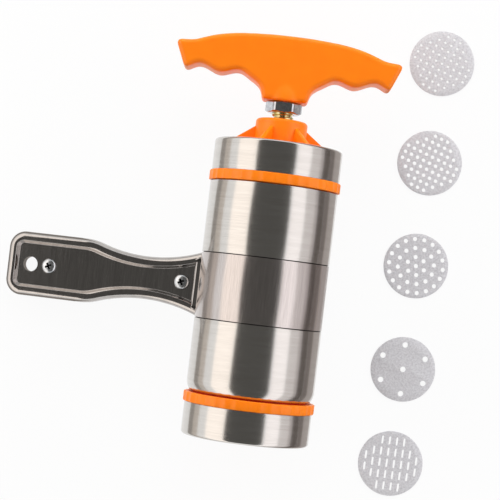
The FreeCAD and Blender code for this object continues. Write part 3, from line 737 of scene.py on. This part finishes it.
def plunger_fixings():
    """Washer and screw in the plunger's face."""
    low, high = span("plunger_washer")
    turned("zinc_washer", ring_outline(2.05 * MM, reach("plunger_washer"), low, high), bright_zinc,
           "plunger_washer", edge=0.2 * MM)
    low, high = span("plunger_screw")
    head = reach("plunger_screw")
    seat = span("plunger_washer")[0]
    outline = [(0, low), (head - 0.8 * MM, low)]
    outline += arc((head - 0.8 * MM, low + 0.8 * MM), 0.8 * MM, -90, 0)
    outline += [(head, seat), (2 * MM, seat), (2 * MM, high), (0, high)]
    bm = bmesh.new()
    spin_outline(bm, outline, 64)
    place = Matrix.Translation((AXIS.x, low, AXIS.z)) @ Matrix.Rotation(math.pi / 2, 4, "X")
    bm = cross_recess(bm, place, 2.2 * MM, 0.75 * MM, 1.1 * MM)
    put(bm, "zinc_plunger_screw", bright_zinc, "plunger_screw")


def cross_recess(bm, place, reach_out, width, depth):
    """Cuts a cross recess into a head: two crossed wedges, their mouth at the place's z = 0."""
    for turn in (0, math.pi / 2):
        wedge = bmesh.new()
        bmesh.ops.create_cube(wedge, size=1)
        bmesh.ops.scale(wedge, verts=wedge.verts, vec=(2 * reach_out, width, 2 * depth))
        foot = [v for v in wedge.verts if v.co.z < 0]
        bmesh.ops.scale(wedge, verts=foot, vec=(0.45, 0.7, 1))
        bmesh.ops.transform(wedge, verts=wedge.verts, matrix=place @ Matrix.Rotation(turn, 4, "Z"))
        bm = cut(bm, wedge)
    return bm


# Crank

def smooth_line(points, steps=5):
    """A smooth line through points, its direction at each one set by the two beside it."""
    knots = [Vector(p) for p in points]
    spans = [(b - a).length for a, b in zip(knots, knots[1:])]
    slopes = [(b - a) / length for a, b, length in zip(knots, knots[1:], spans)]
    turns = [slopes[0]]
    for before, after, left, right in zip(slopes, slopes[1:], spans, spans[1:]):
        turns.append((before * right + after * left) / (left + right))
    turns.append(slopes[-1])
    line = [knots[0]]
    for k, length in enumerate(spans):
        reach_out = length / 3
        line += interpolate_bezier(
            knots[k], knots[k] + turns[k] * reach_out, knots[k + 1] - turns[k + 1] * reach_out,
            knots[k + 1], steps + 1
        )[1:]
    return [(p.x, p.y) for p in line]


def blended(bm, grain, rounds):
    """A piece with its inner corners filled smoothly, as a moulding has them."""
    mesh = bpy.data.meshes.new("blending")
    bm.to_mesh(mesh)
    bm.free()
    held = bpy.data.objects.new("blending", mesh)
    bpy.context.scene.collection.objects.link(held)
    skin = held.modifiers.new("skin", "REMESH")
    skin.mode = "VOXEL"
    skin.voxel_size = grain
    flow = held.modifiers.new("flow", "SMOOTH")
    flow.iterations = rounds
    flow.factor = 0.5
    result = bpy.data.meshes.new_from_object(held.evaluated_get(bpy.context.evaluated_depsgraph_get()))
    out = bmesh.new()
    out.from_mesh(result)
    bpy.data.objects.remove(held)
    bpy.data.meshes.remove(mesh)
    bpy.data.meshes.remove(result)
    return out


def fit_to(bm, low, high):
    """Scales a piece to fill a box, which gives back what the smoothing took off."""
    for k in range(3):
        ends = min(v.co[k] for v in bm.verts), max(v.co[k] for v in bm.verts)
        centre, factor = Vector((0, 0, 0)), Vector((1, 1, 1))
        centre[k] = (ends[0] + ends[1]) / 2
        factor[k] = (high[k] - low[k]) / (ends[1] - ends[0])
        bmesh.ops.scale(bm, verts=bm.verts, vec=factor, space=Matrix.Translation(-centre))
        move = Vector((0, 0, 0))
        move[k] = (low[k] + high[k]) / 2 - centre[k]
        bmesh.ops.translate(bm, verts=bm.verts, vec=move)


def crank():
    """Orange T: a crowned bar with finger scallops and flared ends, that runs into a round stem."""
    foot, top = span("t_handle")
    low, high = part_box("t_handle")
    half = (high.x - low.x) / 2
    crown = smooth_line([
        (-56.5, -8.2), (-51.2, -7.6), (-46.4, -5.9), (-40.6, -3.9), (-32, -2), (-17, -0.5), (0, 0),
        (17, -0.5), (32, -2), (40.6, -3.9), (46.4, -5.9), (51.2, -7.6), (56.5, -8.2),
    ])
    scallops = smooth_line([
        (52.8, -22.6), (47.9, -20.4), (36.2, -24.0), (25.4, -21.6), (19.4, -25.0), (16.2, -27.0),
        (14.0, -29.2), (13.0, -31.6), (12.4, -34.0), (11.6, -35.6),
    ])
    side = [(half / MM, -8.4), (half / MM - 6.6, -24.4)] + scallops
    points = crown + side + [(-x, y) for x, y in side[::-1]]
    bar = bmesh.new()
    face = bar.faces.new([bar.verts.new((x * MM, y * MM, -CRANK_THICKNESS / 2)) for x, y in points])
    made = bmesh.ops.extrude_face_region(bar, geom=[face])
    front = [v for v in made["geom"] if isinstance(v, bmesh.types.BMVert)]
    bmesh.ops.translate(bar, verts=front, vec=(0, 0, CRANK_THICKNESS))
    bmesh.ops.recalc_face_normals(bar, faces=bar.faces)
    corners = [e for e in bar.edges if abs(e.verts[0].co.z - e.verts[1].co.z) > CRANK_THICKNESS / 2
               and abs(e.verts[0].co.x) > half - 7 * MM and e.calc_face_angle(0) > 0.8]
    bmesh.ops.bevel(
        bar, geom=corners, offset=CRANK_CORNER, segments=6, profile=0.5, affect="EDGES",
        clamp_overlap=False, material=-1
    )
    rims = [e for e in bar.edges if e.calc_face_angle(0) > 1.2]
    bmesh.ops.bevel(
        bar, geom=rims, offset=CRANK_ROUND, segments=5, profile=0.5, affect="EDGES",
        clamp_overlap=False, material=-1
    )
    bmesh.ops.translate(bar, verts=bar.verts, vec=(AXIS.x, top, AXIS.z))
    stem = bmesh.new()
    swell = smooth_line([(12.2, 0), (12.1, 3), (11.3, 6.5), (10.4, 10.5), (9.8, 14.5), (9.4, 18.5), (9.0, 23)])
    spin_outline(
        stem, [(0, foot)] + [(r * MM, foot + rise * MM) for r, rise in swell] + [(0, foot + 23 * MM)], 96
    )
    bmesh.ops.scale(stem, verts=stem.verts, vec=(1, 1, STEM_OVAL), space=Matrix.Translation(-AXIS))
    merge_in(bar, stem)
    whole = blended(bar, CRANK_GRAIN, CRANK_BLEND)
    fit_to(whole, low, high)
    socket = bmesh.new()
    ring = reach("screw_rod") + RUNNING
    bmesh.ops.create_cone(
        socket, cap_ends=True, segments=96, radius1=ring, radius2=ring, depth=2 * SOCKET_DEPTH,
        matrix=Matrix.Translation((AXIS.x, foot, AXIS.z)) @ Matrix.Rotation(math.pi / 2, 4, "X")
    )
    put(cut(whole, socket), "orange_crank", orange_abs, "t_handle", rest_sharp=50)


# Side handle

BAND_LOW, BAND_HIGH = span("handle_front")
BAND_MIDDLE = (BAND_LOW + BAND_HIGH) / 2
HANDLE_REACH = SHELL_RADIUS + HANDLE_LENGTH
TIP_CENTRE = HANDLE_REACH - BEAD_ROUND
BEAD_CENTRE = BEAD_HEIGHT - BEAD_ROUND
HANDLE_SINK = math.asin((AXIS.z - BEAD_ROUND) / math.hypot(TIP_CENTRE, BEAD_CENTRE)) - math.atan2(
    BEAD_CENTRE, TIP_CENTRE
)
ROOT = SHELL_RADIUS - 0.6 * MM


def to_handle(bm):
    """Moves a piece drawn flat, x outwards and z to the front, into the handle's place."""
    bmesh.ops.rotate(bm, verts=bm.verts, cent=(0, 0, 0), matrix=Matrix.Rotation(math.pi, 3, "Z"))
    bmesh.ops.rotate(bm, verts=bm.verts, cent=(0, 0, 0), matrix=Matrix.Rotation(-HANDLE_SINK, 3, "Y"))
    bmesh.ops.translate(bm, verts=bm.verts, vec=(AXIS.x, BAND_MIDDLE, AXIS.z))


def bead_profile():
    """Section of the pressing from the panel's edge over the bead to the parting line."""
    middle = BEAD_WIDTH
    drop = BEAD_HEIGHT - PANEL_FACE
    shares = [(1, 1), (0.9, 0.97), (0.78, 0.86), (0.22, 0.14), (0.1, 0.03), (0, 0)]
    slope = [(middle + BEAD_SLOPE / 2 + PANEL_STRIP, PANEL_FACE)]
    slope += [(middle + BEAD_SLOPE * (along - 0.5), BEAD_HEIGHT - drop * fall) for along, fall in shares]
    crown = arc((BEAD_ROUND, BEAD_HEIGHT - BEAD_ROUND), BEAD_ROUND, 90, 180, 12)
    return slope + crown + [(0, PARTING / 2)]


def swept_tray():
    """The pressing's section carried round the handle: neck, shoulder, corner and tip, both sides."""
    neck = Vector((SHELL_RADIUS + NECK_LENGTH, NECK_HALF_WIDTH + NECK_RADIUS, 0))
    rise = neck.y - HANDLE_HALF_WIDTH + HANDLE_SHOULDER
    run = math.sqrt((NECK_RADIUS + HANDLE_SHOULDER) ** 2 - rise**2)
    shoulder = neck + Vector((run, -rise, 0))
    corner = Vector((HANDLE_REACH - HANDLE_CORNER, HANDLE_HALF_WIDTH - HANDLE_CORNER, 0))
    lean = math.atan2(run, rise)
    bm = bmesh.new()
    verts = [bm.verts.new((neck.x, NECK_HALF_WIDTH - inset, height)) for inset, height in bead_profile()]
    section = [bm.edges.new(pair) for pair in zip(verts, verts[1:])]
    start = math.asin((NECK_LENGTH + 4 * SHEET) / NECK_RADIUS)
    bmesh.ops.rotate(bm, verts=verts, cent=neck, matrix=Matrix.Rotation(-start, 3, "Z"))
    last = verts + section

    def sweep(centre, angle, steps):
        made = bmesh.ops.spin(bm, geom=last, cent=centre, axis=(0, 0, 1), angle=angle, steps=steps)
        last[:] = made["geom_last"]

    def run_on(x, y):
        made = bmesh.ops.extrude_edge_only(bm, edges=[e for e in last if isinstance(e, bmesh.types.BMEdge)])
        last[:] = [g for g in made["geom"] if not isinstance(g, bmesh.types.BMFace)]
        moved = [v for v in last if isinstance(v, bmesh.types.BMVert)]
        bmesh.ops.translate(bm, verts=moved, vec=(x, y, 0))

    sweep(neck, start + lean, 56)
    sweep(shoulder, -lean, 20)
    run_on(corner.x - shoulder.x, 0)
    sweep(corner, -TURN / 4, 20)
    run_on(0, -corner.y)
    bmesh.ops.mirror(bm, geom=bm.verts[:] + bm.edges[:] + bm.faces[:], merge_dist=1e-7, axis="Y")
    bmesh.ops.remove_doubles(bm, verts=bm.verts, dist=1e-7)
    bmesh.ops.bisect_plane(
        bm, geom=bm.verts[:] + bm.edges[:] + bm.faces[:], plane_co=(ROOT, 0, 0), plane_no=(-1, 0, 0),
        clear_outer=True
    )
    for height in (PANEL_FACE, PARTING / 2):
        ends = [e for e in bm.edges if e.is_boundary and all(abs(v.co.z - height) < 1e-7 for v in e.verts)
                and any(v.co.x > ROOT + 1e-6 for v in e.verts)]
        open_ends = [v for v in {v for e in ends for v in e.verts} if abs(v.co.x - ROOT) < 1e-6]
        ends.append(bm.edges.new(open_ends))
        bmesh.ops.contextual_create(bm, geom=ends)
    bmesh.ops.contextual_create(bm, geom=[e for e in bm.edges if e.is_boundary])
    return bm


def root_ledge():
    """The step up from the panel to the band, at the handle's root."""
    bm = bmesh.new()
    recess = SHELL_RADIUS + RECESS_START
    slope = [(recess - BEAD_SLOPE, BEAD_HEIGHT), (recess - 0.75 * BEAD_SLOPE, BEAD_HEIGHT * 0.95),
             (recess - 0.2 * BEAD_SLOPE, PANEL_FACE + 0.3 * MM), (recess, PANEL_FACE)]
    outline = [(ROOT, PARTING / 2)] + [(ROOT, BEAD_HEIGHT)] + slope + [(recess, PARTING / 2)]
    half = HANDLE_HALF_WIDTH - BEAD_ROUND - 0.5 * MM
    face = bm.faces.new([bm.verts.new((x, -half, z)) for x, z in outline])
    made = bmesh.ops.extrude_face_region(bm, geom=[face])
    moved = [v for v in made["geom"] if isinstance(v, bmesh.types.BMVert)]
    bmesh.ops.translate(bm, verts=moved, vec=(0, 2 * half, 0))
    return bm


def handle_pressing(side_name, node, front):
    """A handle plate with its hanging hole, and its half band; one pressing, two finishes."""
    bm = cut(swept_tray(), root_ledge(), "UNION")
    hole = bmesh.new()
    bmesh.ops.create_cone(
        hole, cap_ends=True, segments=96, radius1=HANG_HOLE_RADIUS, radius2=HANG_HOLE_RADIUS,
        depth=6 * BEAD_HEIGHT, matrix=Matrix.Translation((HANDLE_REACH - HANG_HOLE_FROM_TIP, 0, 0))
    )
    bm = cut(bm, hole)
    side = 1 if front else -1
    bmesh.ops.scale(bm, verts=bm.verts, vec=(1, 1, side))
    to_handle(bm)
    put(bm, side_name + "_handle_plate", plate_steel, node)
    half = bmesh.new()
    gap = math.asin(PARTING / 2 / SHELL_RADIUS)
    spin_outline(
        half, ring_outline(SHELL_RADIUS - SHEET, SHELL_RADIUS, BAND_LOW, BAND_HIGH), 96,
        -side * (math.pi - 2 * gap), start=-HANDLE_SINK - side * gap
    )
    bmesh.ops.holes_fill(half, edges=[e for e in half.edges if e.is_boundary], sides=4)
    soften(half, 0.2 * MM)
    put(half, side_name + "_half_band", band_steel, node)


def handle_screws():
    """Two zinc pan-head screws with a cross recess, seated on the panel's front."""
    bm = bmesh.new()
    radius = SCREW_HEAD / 2
    top = PANEL_FACE + SCREW_HEAD_HEIGHT
    shank = SCREW_SHANK / 2
    tail = -PANEL_FACE - NUT_HEIGHT_SMALL - 0.5 * MM
    outline = [(0, tail), (shank - 0.3 * MM, tail), (shank, tail + 0.3 * MM), (shank, PANEL_FACE),
               (radius - 0.15 * MM, PANEL_FACE), (radius, PANEL_FACE + 0.15 * MM),
               (radius, PANEL_FACE + 1.2 * MM)]
    outline += [(radius * share, top - drop * MM) for share, drop in
                ((0.985, 1.2), (0.93, 0.9), (0.84, 0.58), (0.7, 0.3), (0.45, 0.08))]
    outline += [(0, top)]
    for distance in (HANDLE_REACH - OUTER_SCREW_FROM_TIP, SHELL_RADIUS + INNER_SCREW_LENGTH):
        one = bmesh.new()
        verts = [one.verts.new((r, 0, z)) for r, z in outline]
        edges = [one.edges.new(pair) for pair in zip(verts, verts[1:])]
        bmesh.ops.spin(
            one, geom=verts + edges, cent=(0, 0, 0), axis=(0, 0, 1), angle=TURN, steps=64, use_merge=True
        )
        bmesh.ops.remove_doubles(one, verts=one.verts, dist=1e-7)
        place = Matrix.Translation((0, 0, top)) @ Matrix.Rotation(math.radians(25), 4, "Z")
        one = cross_recess(one, place, radius * 0.66, 1.35 * MM, 2.0 * MM)
        # Faces inside the cross recess get the dark recess colour: painted shade
        for face in one.faces:
            middle = face.calc_center_median()
            inside = middle.xy.length < radius * 0.68 and PANEL_FACE < middle.z < top - 0.35 * MM
            face.material_index = int(inside)
        bmesh.ops.translate(one, verts=one.verts, vec=(distance, 0, 0))
        merge_in(bm, one)
    to_handle(bm)
    screws = put(bm, "zinc_handle_screws", dull_zinc, "handle_screws", rest_sharp=30)
    screws.data.materials.append(painted_recess_shade)


def handle_nuts():
    """Two small nuts on the rear panel."""
    bm = bmesh.new()
    for distance in (HANDLE_REACH - OUTER_SCREW_FROM_TIP, SHELL_RADIUS + INNER_SCREW_LENGTH):
        one = bmesh.new()
        bmesh.ops.create_cone(
            one, cap_ends=True, segments=6, radius1=NUT_FLATS_SMALL / math.sqrt(3),
            radius2=NUT_FLATS_SMALL / math.sqrt(3), depth=NUT_HEIGHT_SMALL,
            matrix=Matrix.Translation((distance, 0, -PANEL_FACE - NUT_HEIGHT_SMALL / 2))
        )
        soften(one, 0.35 * MM, 3)
        merge_in(bm, one)
    to_handle(bm)
    put(bm, "zinc_handle_nuts", bright_zinc, "handle_nuts", rest_sharp=30)


# Dies

def round_hole(cutters, x, y, radius, depth):
    """Adds a round cutter."""
    bmesh.ops.create_cone(
        cutters, cap_ends=True, segments=24, radius1=radius, radius2=radius, depth=depth,
        matrix=Matrix.Translation((x, y, 0))
    )


def slot_hole(cutters, x, y, width, length, depth):
    """Adds a cutter for a slot with round ends."""
    one = bmesh.new()
    bmesh.ops.create_cone(
        one, cap_ends=True, segments=16, radius1=width / 2, radius2=width / 2, depth=depth
    )
    for side in (1, -1):
        half = [v for v in one.verts if v.co.y * side > width * 0.01]
        bmesh.ops.translate(one, verts=half, vec=(0, side * (length - width) / 2, 0))
    bmesh.ops.translate(one, verts=one.verts, vec=(x, y, 0))
    merge_in(cutters, one)


def die(name, node, holes, turn):
    """A loose die: a stamped disc with its holes cut through, lying flat."""
    low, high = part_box(node)
    radius, thickness = reach(node), high.z - low.z
    disc = bmesh.new()
    bmesh.ops.create_cone(
        disc, cap_ends=True, segments=128, radius1=radius, radius2=radius, depth=thickness
    )
    soften(disc, DIE_RIM_SOFT)
    cutters = bmesh.new()
    for add_hole, place in holes(radius):
        add_hole(cutters, *place, 3 * thickness)
    disc = cut(disc, cutters)
    bmesh.ops.rotate(disc, verts=disc.verts, cent=(0, 0, 0), matrix=Matrix.Rotation(math.radians(turn), 3, "Z"))
    bmesh.ops.translate(disc, verts=disc.verts, vec=(low + high) / 2)
    put(disc, name, die_aluminium, node)


def grid_of(diameter):
    """Square grid of holes with its corners left off."""
    def holes(radius):
        pitch = (radius - 2.65 * MM) / math.hypot(4, 1)
        steps = range(-4, 5)
        return [(round_hole, (i * pitch, j * pitch, diameter / 2)) for i in steps for j in steps
                if abs(i) + abs(j) <= 5]
    return holes


def three_rings(radius):
    """Centre hole and rings of six, twelve and eighteen."""
    places = [(round_hole, (0, 0, 2.45 * MM / 2))]
    for ring in (1, 2, 3):
        away = ring * (radius - 3 * MM) / 3
        for k in range(6 * ring):
            angle = TURN * k / (6 * ring)
            places.append((round_hole, (-away * math.sin(angle), away * math.cos(angle), 2.45 * MM / 2)))
    return places


def seven(radius):
    """Centre hole and six more on one circle."""
    away = radius - 4.5 * MM
    angles = [TURN * k / 6 for k in range(6)]
    places = [(0, 0)] + [(-away * math.sin(a), away * math.cos(a)) for a in angles]
    return [(round_hole, (x, y, 3.15 * MM / 2)) for x, y in places]


def slots(radius):
    """Short slots: three full rows, two short ones, and a pair at each side."""
    column, row = (radius - 4 * MM) / 3.5, 4.7 * MM + 1.75 * MM
    places = [(i - 2.5, j) for j in (-1, 0, 1) for i in range(6)]
    places += [(i - 1.5, j) for j in (-2, 2) for i in range(4)]
    places += [(side * 3.5, j) for side in (-1, 1) for j in (-0.5, 0.5)]
    return [(slot_hole, (i * column, j * row, 1.2 * MM, 4.7 * MM)) for i, j in places]


def dies():
    """The five dies in their column."""
    die("die_with_fine_holes", "die_fine_holes", grid_of(1.5 * MM), -21.1)
    die("die_with_medium_holes", "die_medium_holes", grid_of(2.1 * MM), -19.8)
    die("die_with_rings_of_holes", "die_ring_holes", three_rings, 8.6)
    die("die_with_seven_holes", "die_seven_holes", seven, 1.2)
    die("die_with_slots", "die_slots", slots, -1.4)


# Studio

CAMERA_ALONG = 82.3 * MM
CAMERA_HEIGHT = 889 * MM
CAMERA_LEAN = math.radians(6.8)
VIEW_WIDTH = 273.5 * MM
SENSOR = 36.0
PAPER_GLOW = 0.92
CARD_LENGTH = 18.0
SHIFT = (-0.024, 0.08)


def camera():
    """Straight above the press, turned so that it leans as in the photograph."""
    data = bpy.data.cameras.new("camera")
    data.sensor_width = SENSOR
    data.lens = SENSOR * CAMERA_HEIGHT / VIEW_WIDTH
    data.shift_x, data.shift_y = SHIFT
    data.clip_start, data.clip_end = 0.01, 20
    eye = bpy.data.objects.new("camera", data)
    bpy.context.scene.collection.objects.link(eye)
    eye.location = (AXIS.x, span("outlet_sleeve")[0] + CAMERA_ALONG, AXIS.z + CAMERA_HEIGHT)
    eye.rotation_euler = (0, 0, CAMERA_LEAN)
    bpy.context.scene.camera = eye


def white_where_seen(tree):
    """One where a ray comes from the camera, a mirror or a clear surface, and nothing elsewhere."""
    rays = add(tree, "ShaderNodeLightPath")
    seen = rays.outputs["Is Camera Ray"]
    for kind in ("Is Glossy Ray", "Is Transmission Ray"):
        seen = add(
            tree, "ShaderNodeMath", {0: seen, 1: rays.outputs[kind]}, operation="MAXIMUM"
        ).outputs[0]
    return seen


def floor():
    """The table: white paper that keeps a soft shadow, and looks white where it is seen."""
    bm = bmesh.new()
    bmesh.ops.create_grid(bm, x_segments=1, y_segments=1, size=6)
    mesh = bpy.data.meshes.new("table_top")
    bm.to_mesh(mesh)
    bm.free()
    paper = bpy.data.materials.new("white_paper")
    paper.use_nodes = True
    tree = paper.node_tree
    tree.nodes.clear()
    lit = add(tree, "ShaderNodeBsdfDiffuse", {"Color": linear("#F0F0F0")})
    white = add(tree, "ShaderNodeEmission", {"Color": linear("#FFFFFF"), "Strength": 1.0})
    share = add(
        tree, "ShaderNodeMath", {0: white_where_seen(tree), 1: PAPER_GLOW}, operation="MULTIPLY"
    )
    both = add(tree, "ShaderNodeMixShader", {"Fac": share.outputs[0], 1: lit.outputs[0], 2: white.outputs[0]})
    add(tree, "ShaderNodeOutputMaterial", {"Surface": both.outputs[0]})
    mesh.materials.append(paper)
    top = bpy.data.objects.new("table_top", mesh)
    bpy.context.scene.collection.objects.link(top)


def lamp(name, place, aim, size, power, colour="#FFFFFF"):
    """A soft box aimed at the press; what the steel mirrors is left to the cards."""
    data = bpy.data.lights.new(name, "AREA")
    data.shape = "RECTANGLE"
    data.size, data.size_y = size
    data.energy = power
    data.color = linear(colour)[:3]
    box = bpy.data.objects.new(name, data)
    bpy.context.scene.collection.objects.link(box)
    box.location = place
    box.rotation_euler = (Vector(place) - Vector(aim)).to_track_quat("Z", "X").to_euler()
    box.visible_glossy = False


def card(name, start, end, colour, glow=1.0):
    """A long card beside the press, from one (x, height) to another, that only shows in reflections."""
    bm = bmesh.new()
    ends = [bm.verts.new((AXIS.x + x, -CARD_LENGTH / 2, height)) for x, height in (start, end)]
    made = bmesh.ops.extrude_edge_only(bm, edges=[bm.edges.new(ends)])
    moved = [v for v in made["geom"] if isinstance(v, bmesh.types.BMVert)]
    bmesh.ops.translate(bm, verts=moved, vec=(0, CARD_LENGTH, 0))
    mesh = bpy.data.meshes.new(name)
    bm.to_mesh(mesh)
    bm.free()
    made = bpy.data.materials.new(name)
    made.use_nodes = True
    tree = made.node_tree
    tree.nodes.clear()
    light = add(tree, "ShaderNodeEmission", {"Color": linear(colour), "Strength": glow})
    add(tree, "ShaderNodeOutputMaterial", {"Surface": light.outputs[0]})
    mesh.materials.append(made)
    held = bpy.data.objects.new(name, mesh)
    bpy.context.scene.collection.objects.link(held)
    held.visible_camera = False
    held.visible_diffuse = False
    held.visible_shadow = False
    held.visible_transmission = False


def world():
    """A white room where it is seen or mirrored, and a softer light on the press."""
    made = bpy.data.worlds.new("room")
    bpy.context.scene.world = made
    made.use_nodes = True
    tree = made.node_tree
    strength = add(
        tree, "ShaderNodeMapRange", {"Value": white_where_seen(tree), "To Min": 0.5, "To Max": 1.0}
    )
    room = tree.nodes["Background"]
    room.inputs["Color"].default_value = linear("#FFFFFF")
    tree.links.new(strength.outputs[0], room.inputs["Strength"])


def studio():
    """Soft boxes at both sides, and the cards that give the steel its light and dark bands."""
    bpy.context.scene.view_settings.view_transform = "Standard"
    world()
    floor()
    centre = (AXIS.x, 0, AXIS.z)
    lamp("left_box", (AXIS.x - 1.5, 0.4, 0.62), centre, (0.9, 2.0), 18, "#FFFAF5")
    lamp("right_box", (AXIS.x + 1.4, 0.4, 0.62), centre, (0.6, 2.0), 13)
    lamp("top_box", (AXIS.x, 1.5, 0.6), centre, (1.6, 0.8), 15)
    card("dark_ceiling", (-3.68, 4.8), (3.0, 4.8), "#5A5957")
    card("left_soft_box", (-3.75, 4.8), (-5.8, 1.56), "#FFF7F0", 1.5)
    card("right_soft_box", (3.15, 4.5), (4.9, 2.65), "#FFFBFC", 1.37)
    card("grey_wall", (4.95, 2.6), (5.4, 0.7), "#EAE5E5")
    card("low_wall", (5.4, 0.69), (5.4, 0.01), "#C8C1C1")
    card("table_right_far", (0.2, 0.003), (5.4, 0.003), "#6B6461")
    card("table_right", (0.11, 0.002), (0.2, 0.002), "#857D7A")
    card("table_near_right", (0.055, 0.003), (0.11, 0.003), "#B8B1AE")
    card("table_left_line", (-0.181, 0.002), (-0.105, 0.002), "#A39E99")
    card("table_left", (-0.7, 0.002), (-0.181, 0.002), "#D4CCC4")


barrel_shell()
barrel_liner()
collars()
top_cap()
outlet_cap()
rolled_sleeve("top_sleeve_steel", "top_cap_sleeve", 1)
rolled_sleeve("outlet_sleeve_steel", "outlet_sleeve", -1)
seal("silicone_top_seal", "top_seal")
seal("silicone_outlet_seal", "outlet_seal")
nut("zinc_lock_nut", "lock_nut")
nut("zinc_hub_nut", "hub_nut")
screw_rod()
plunger()
plunger_fixings()
crank()
handle_pressing("front", "handle_front", True)
handle_pressing("rear", "handle_rear", False)
handle_screws()
handle_nuts()
dies()
studio()
camera()
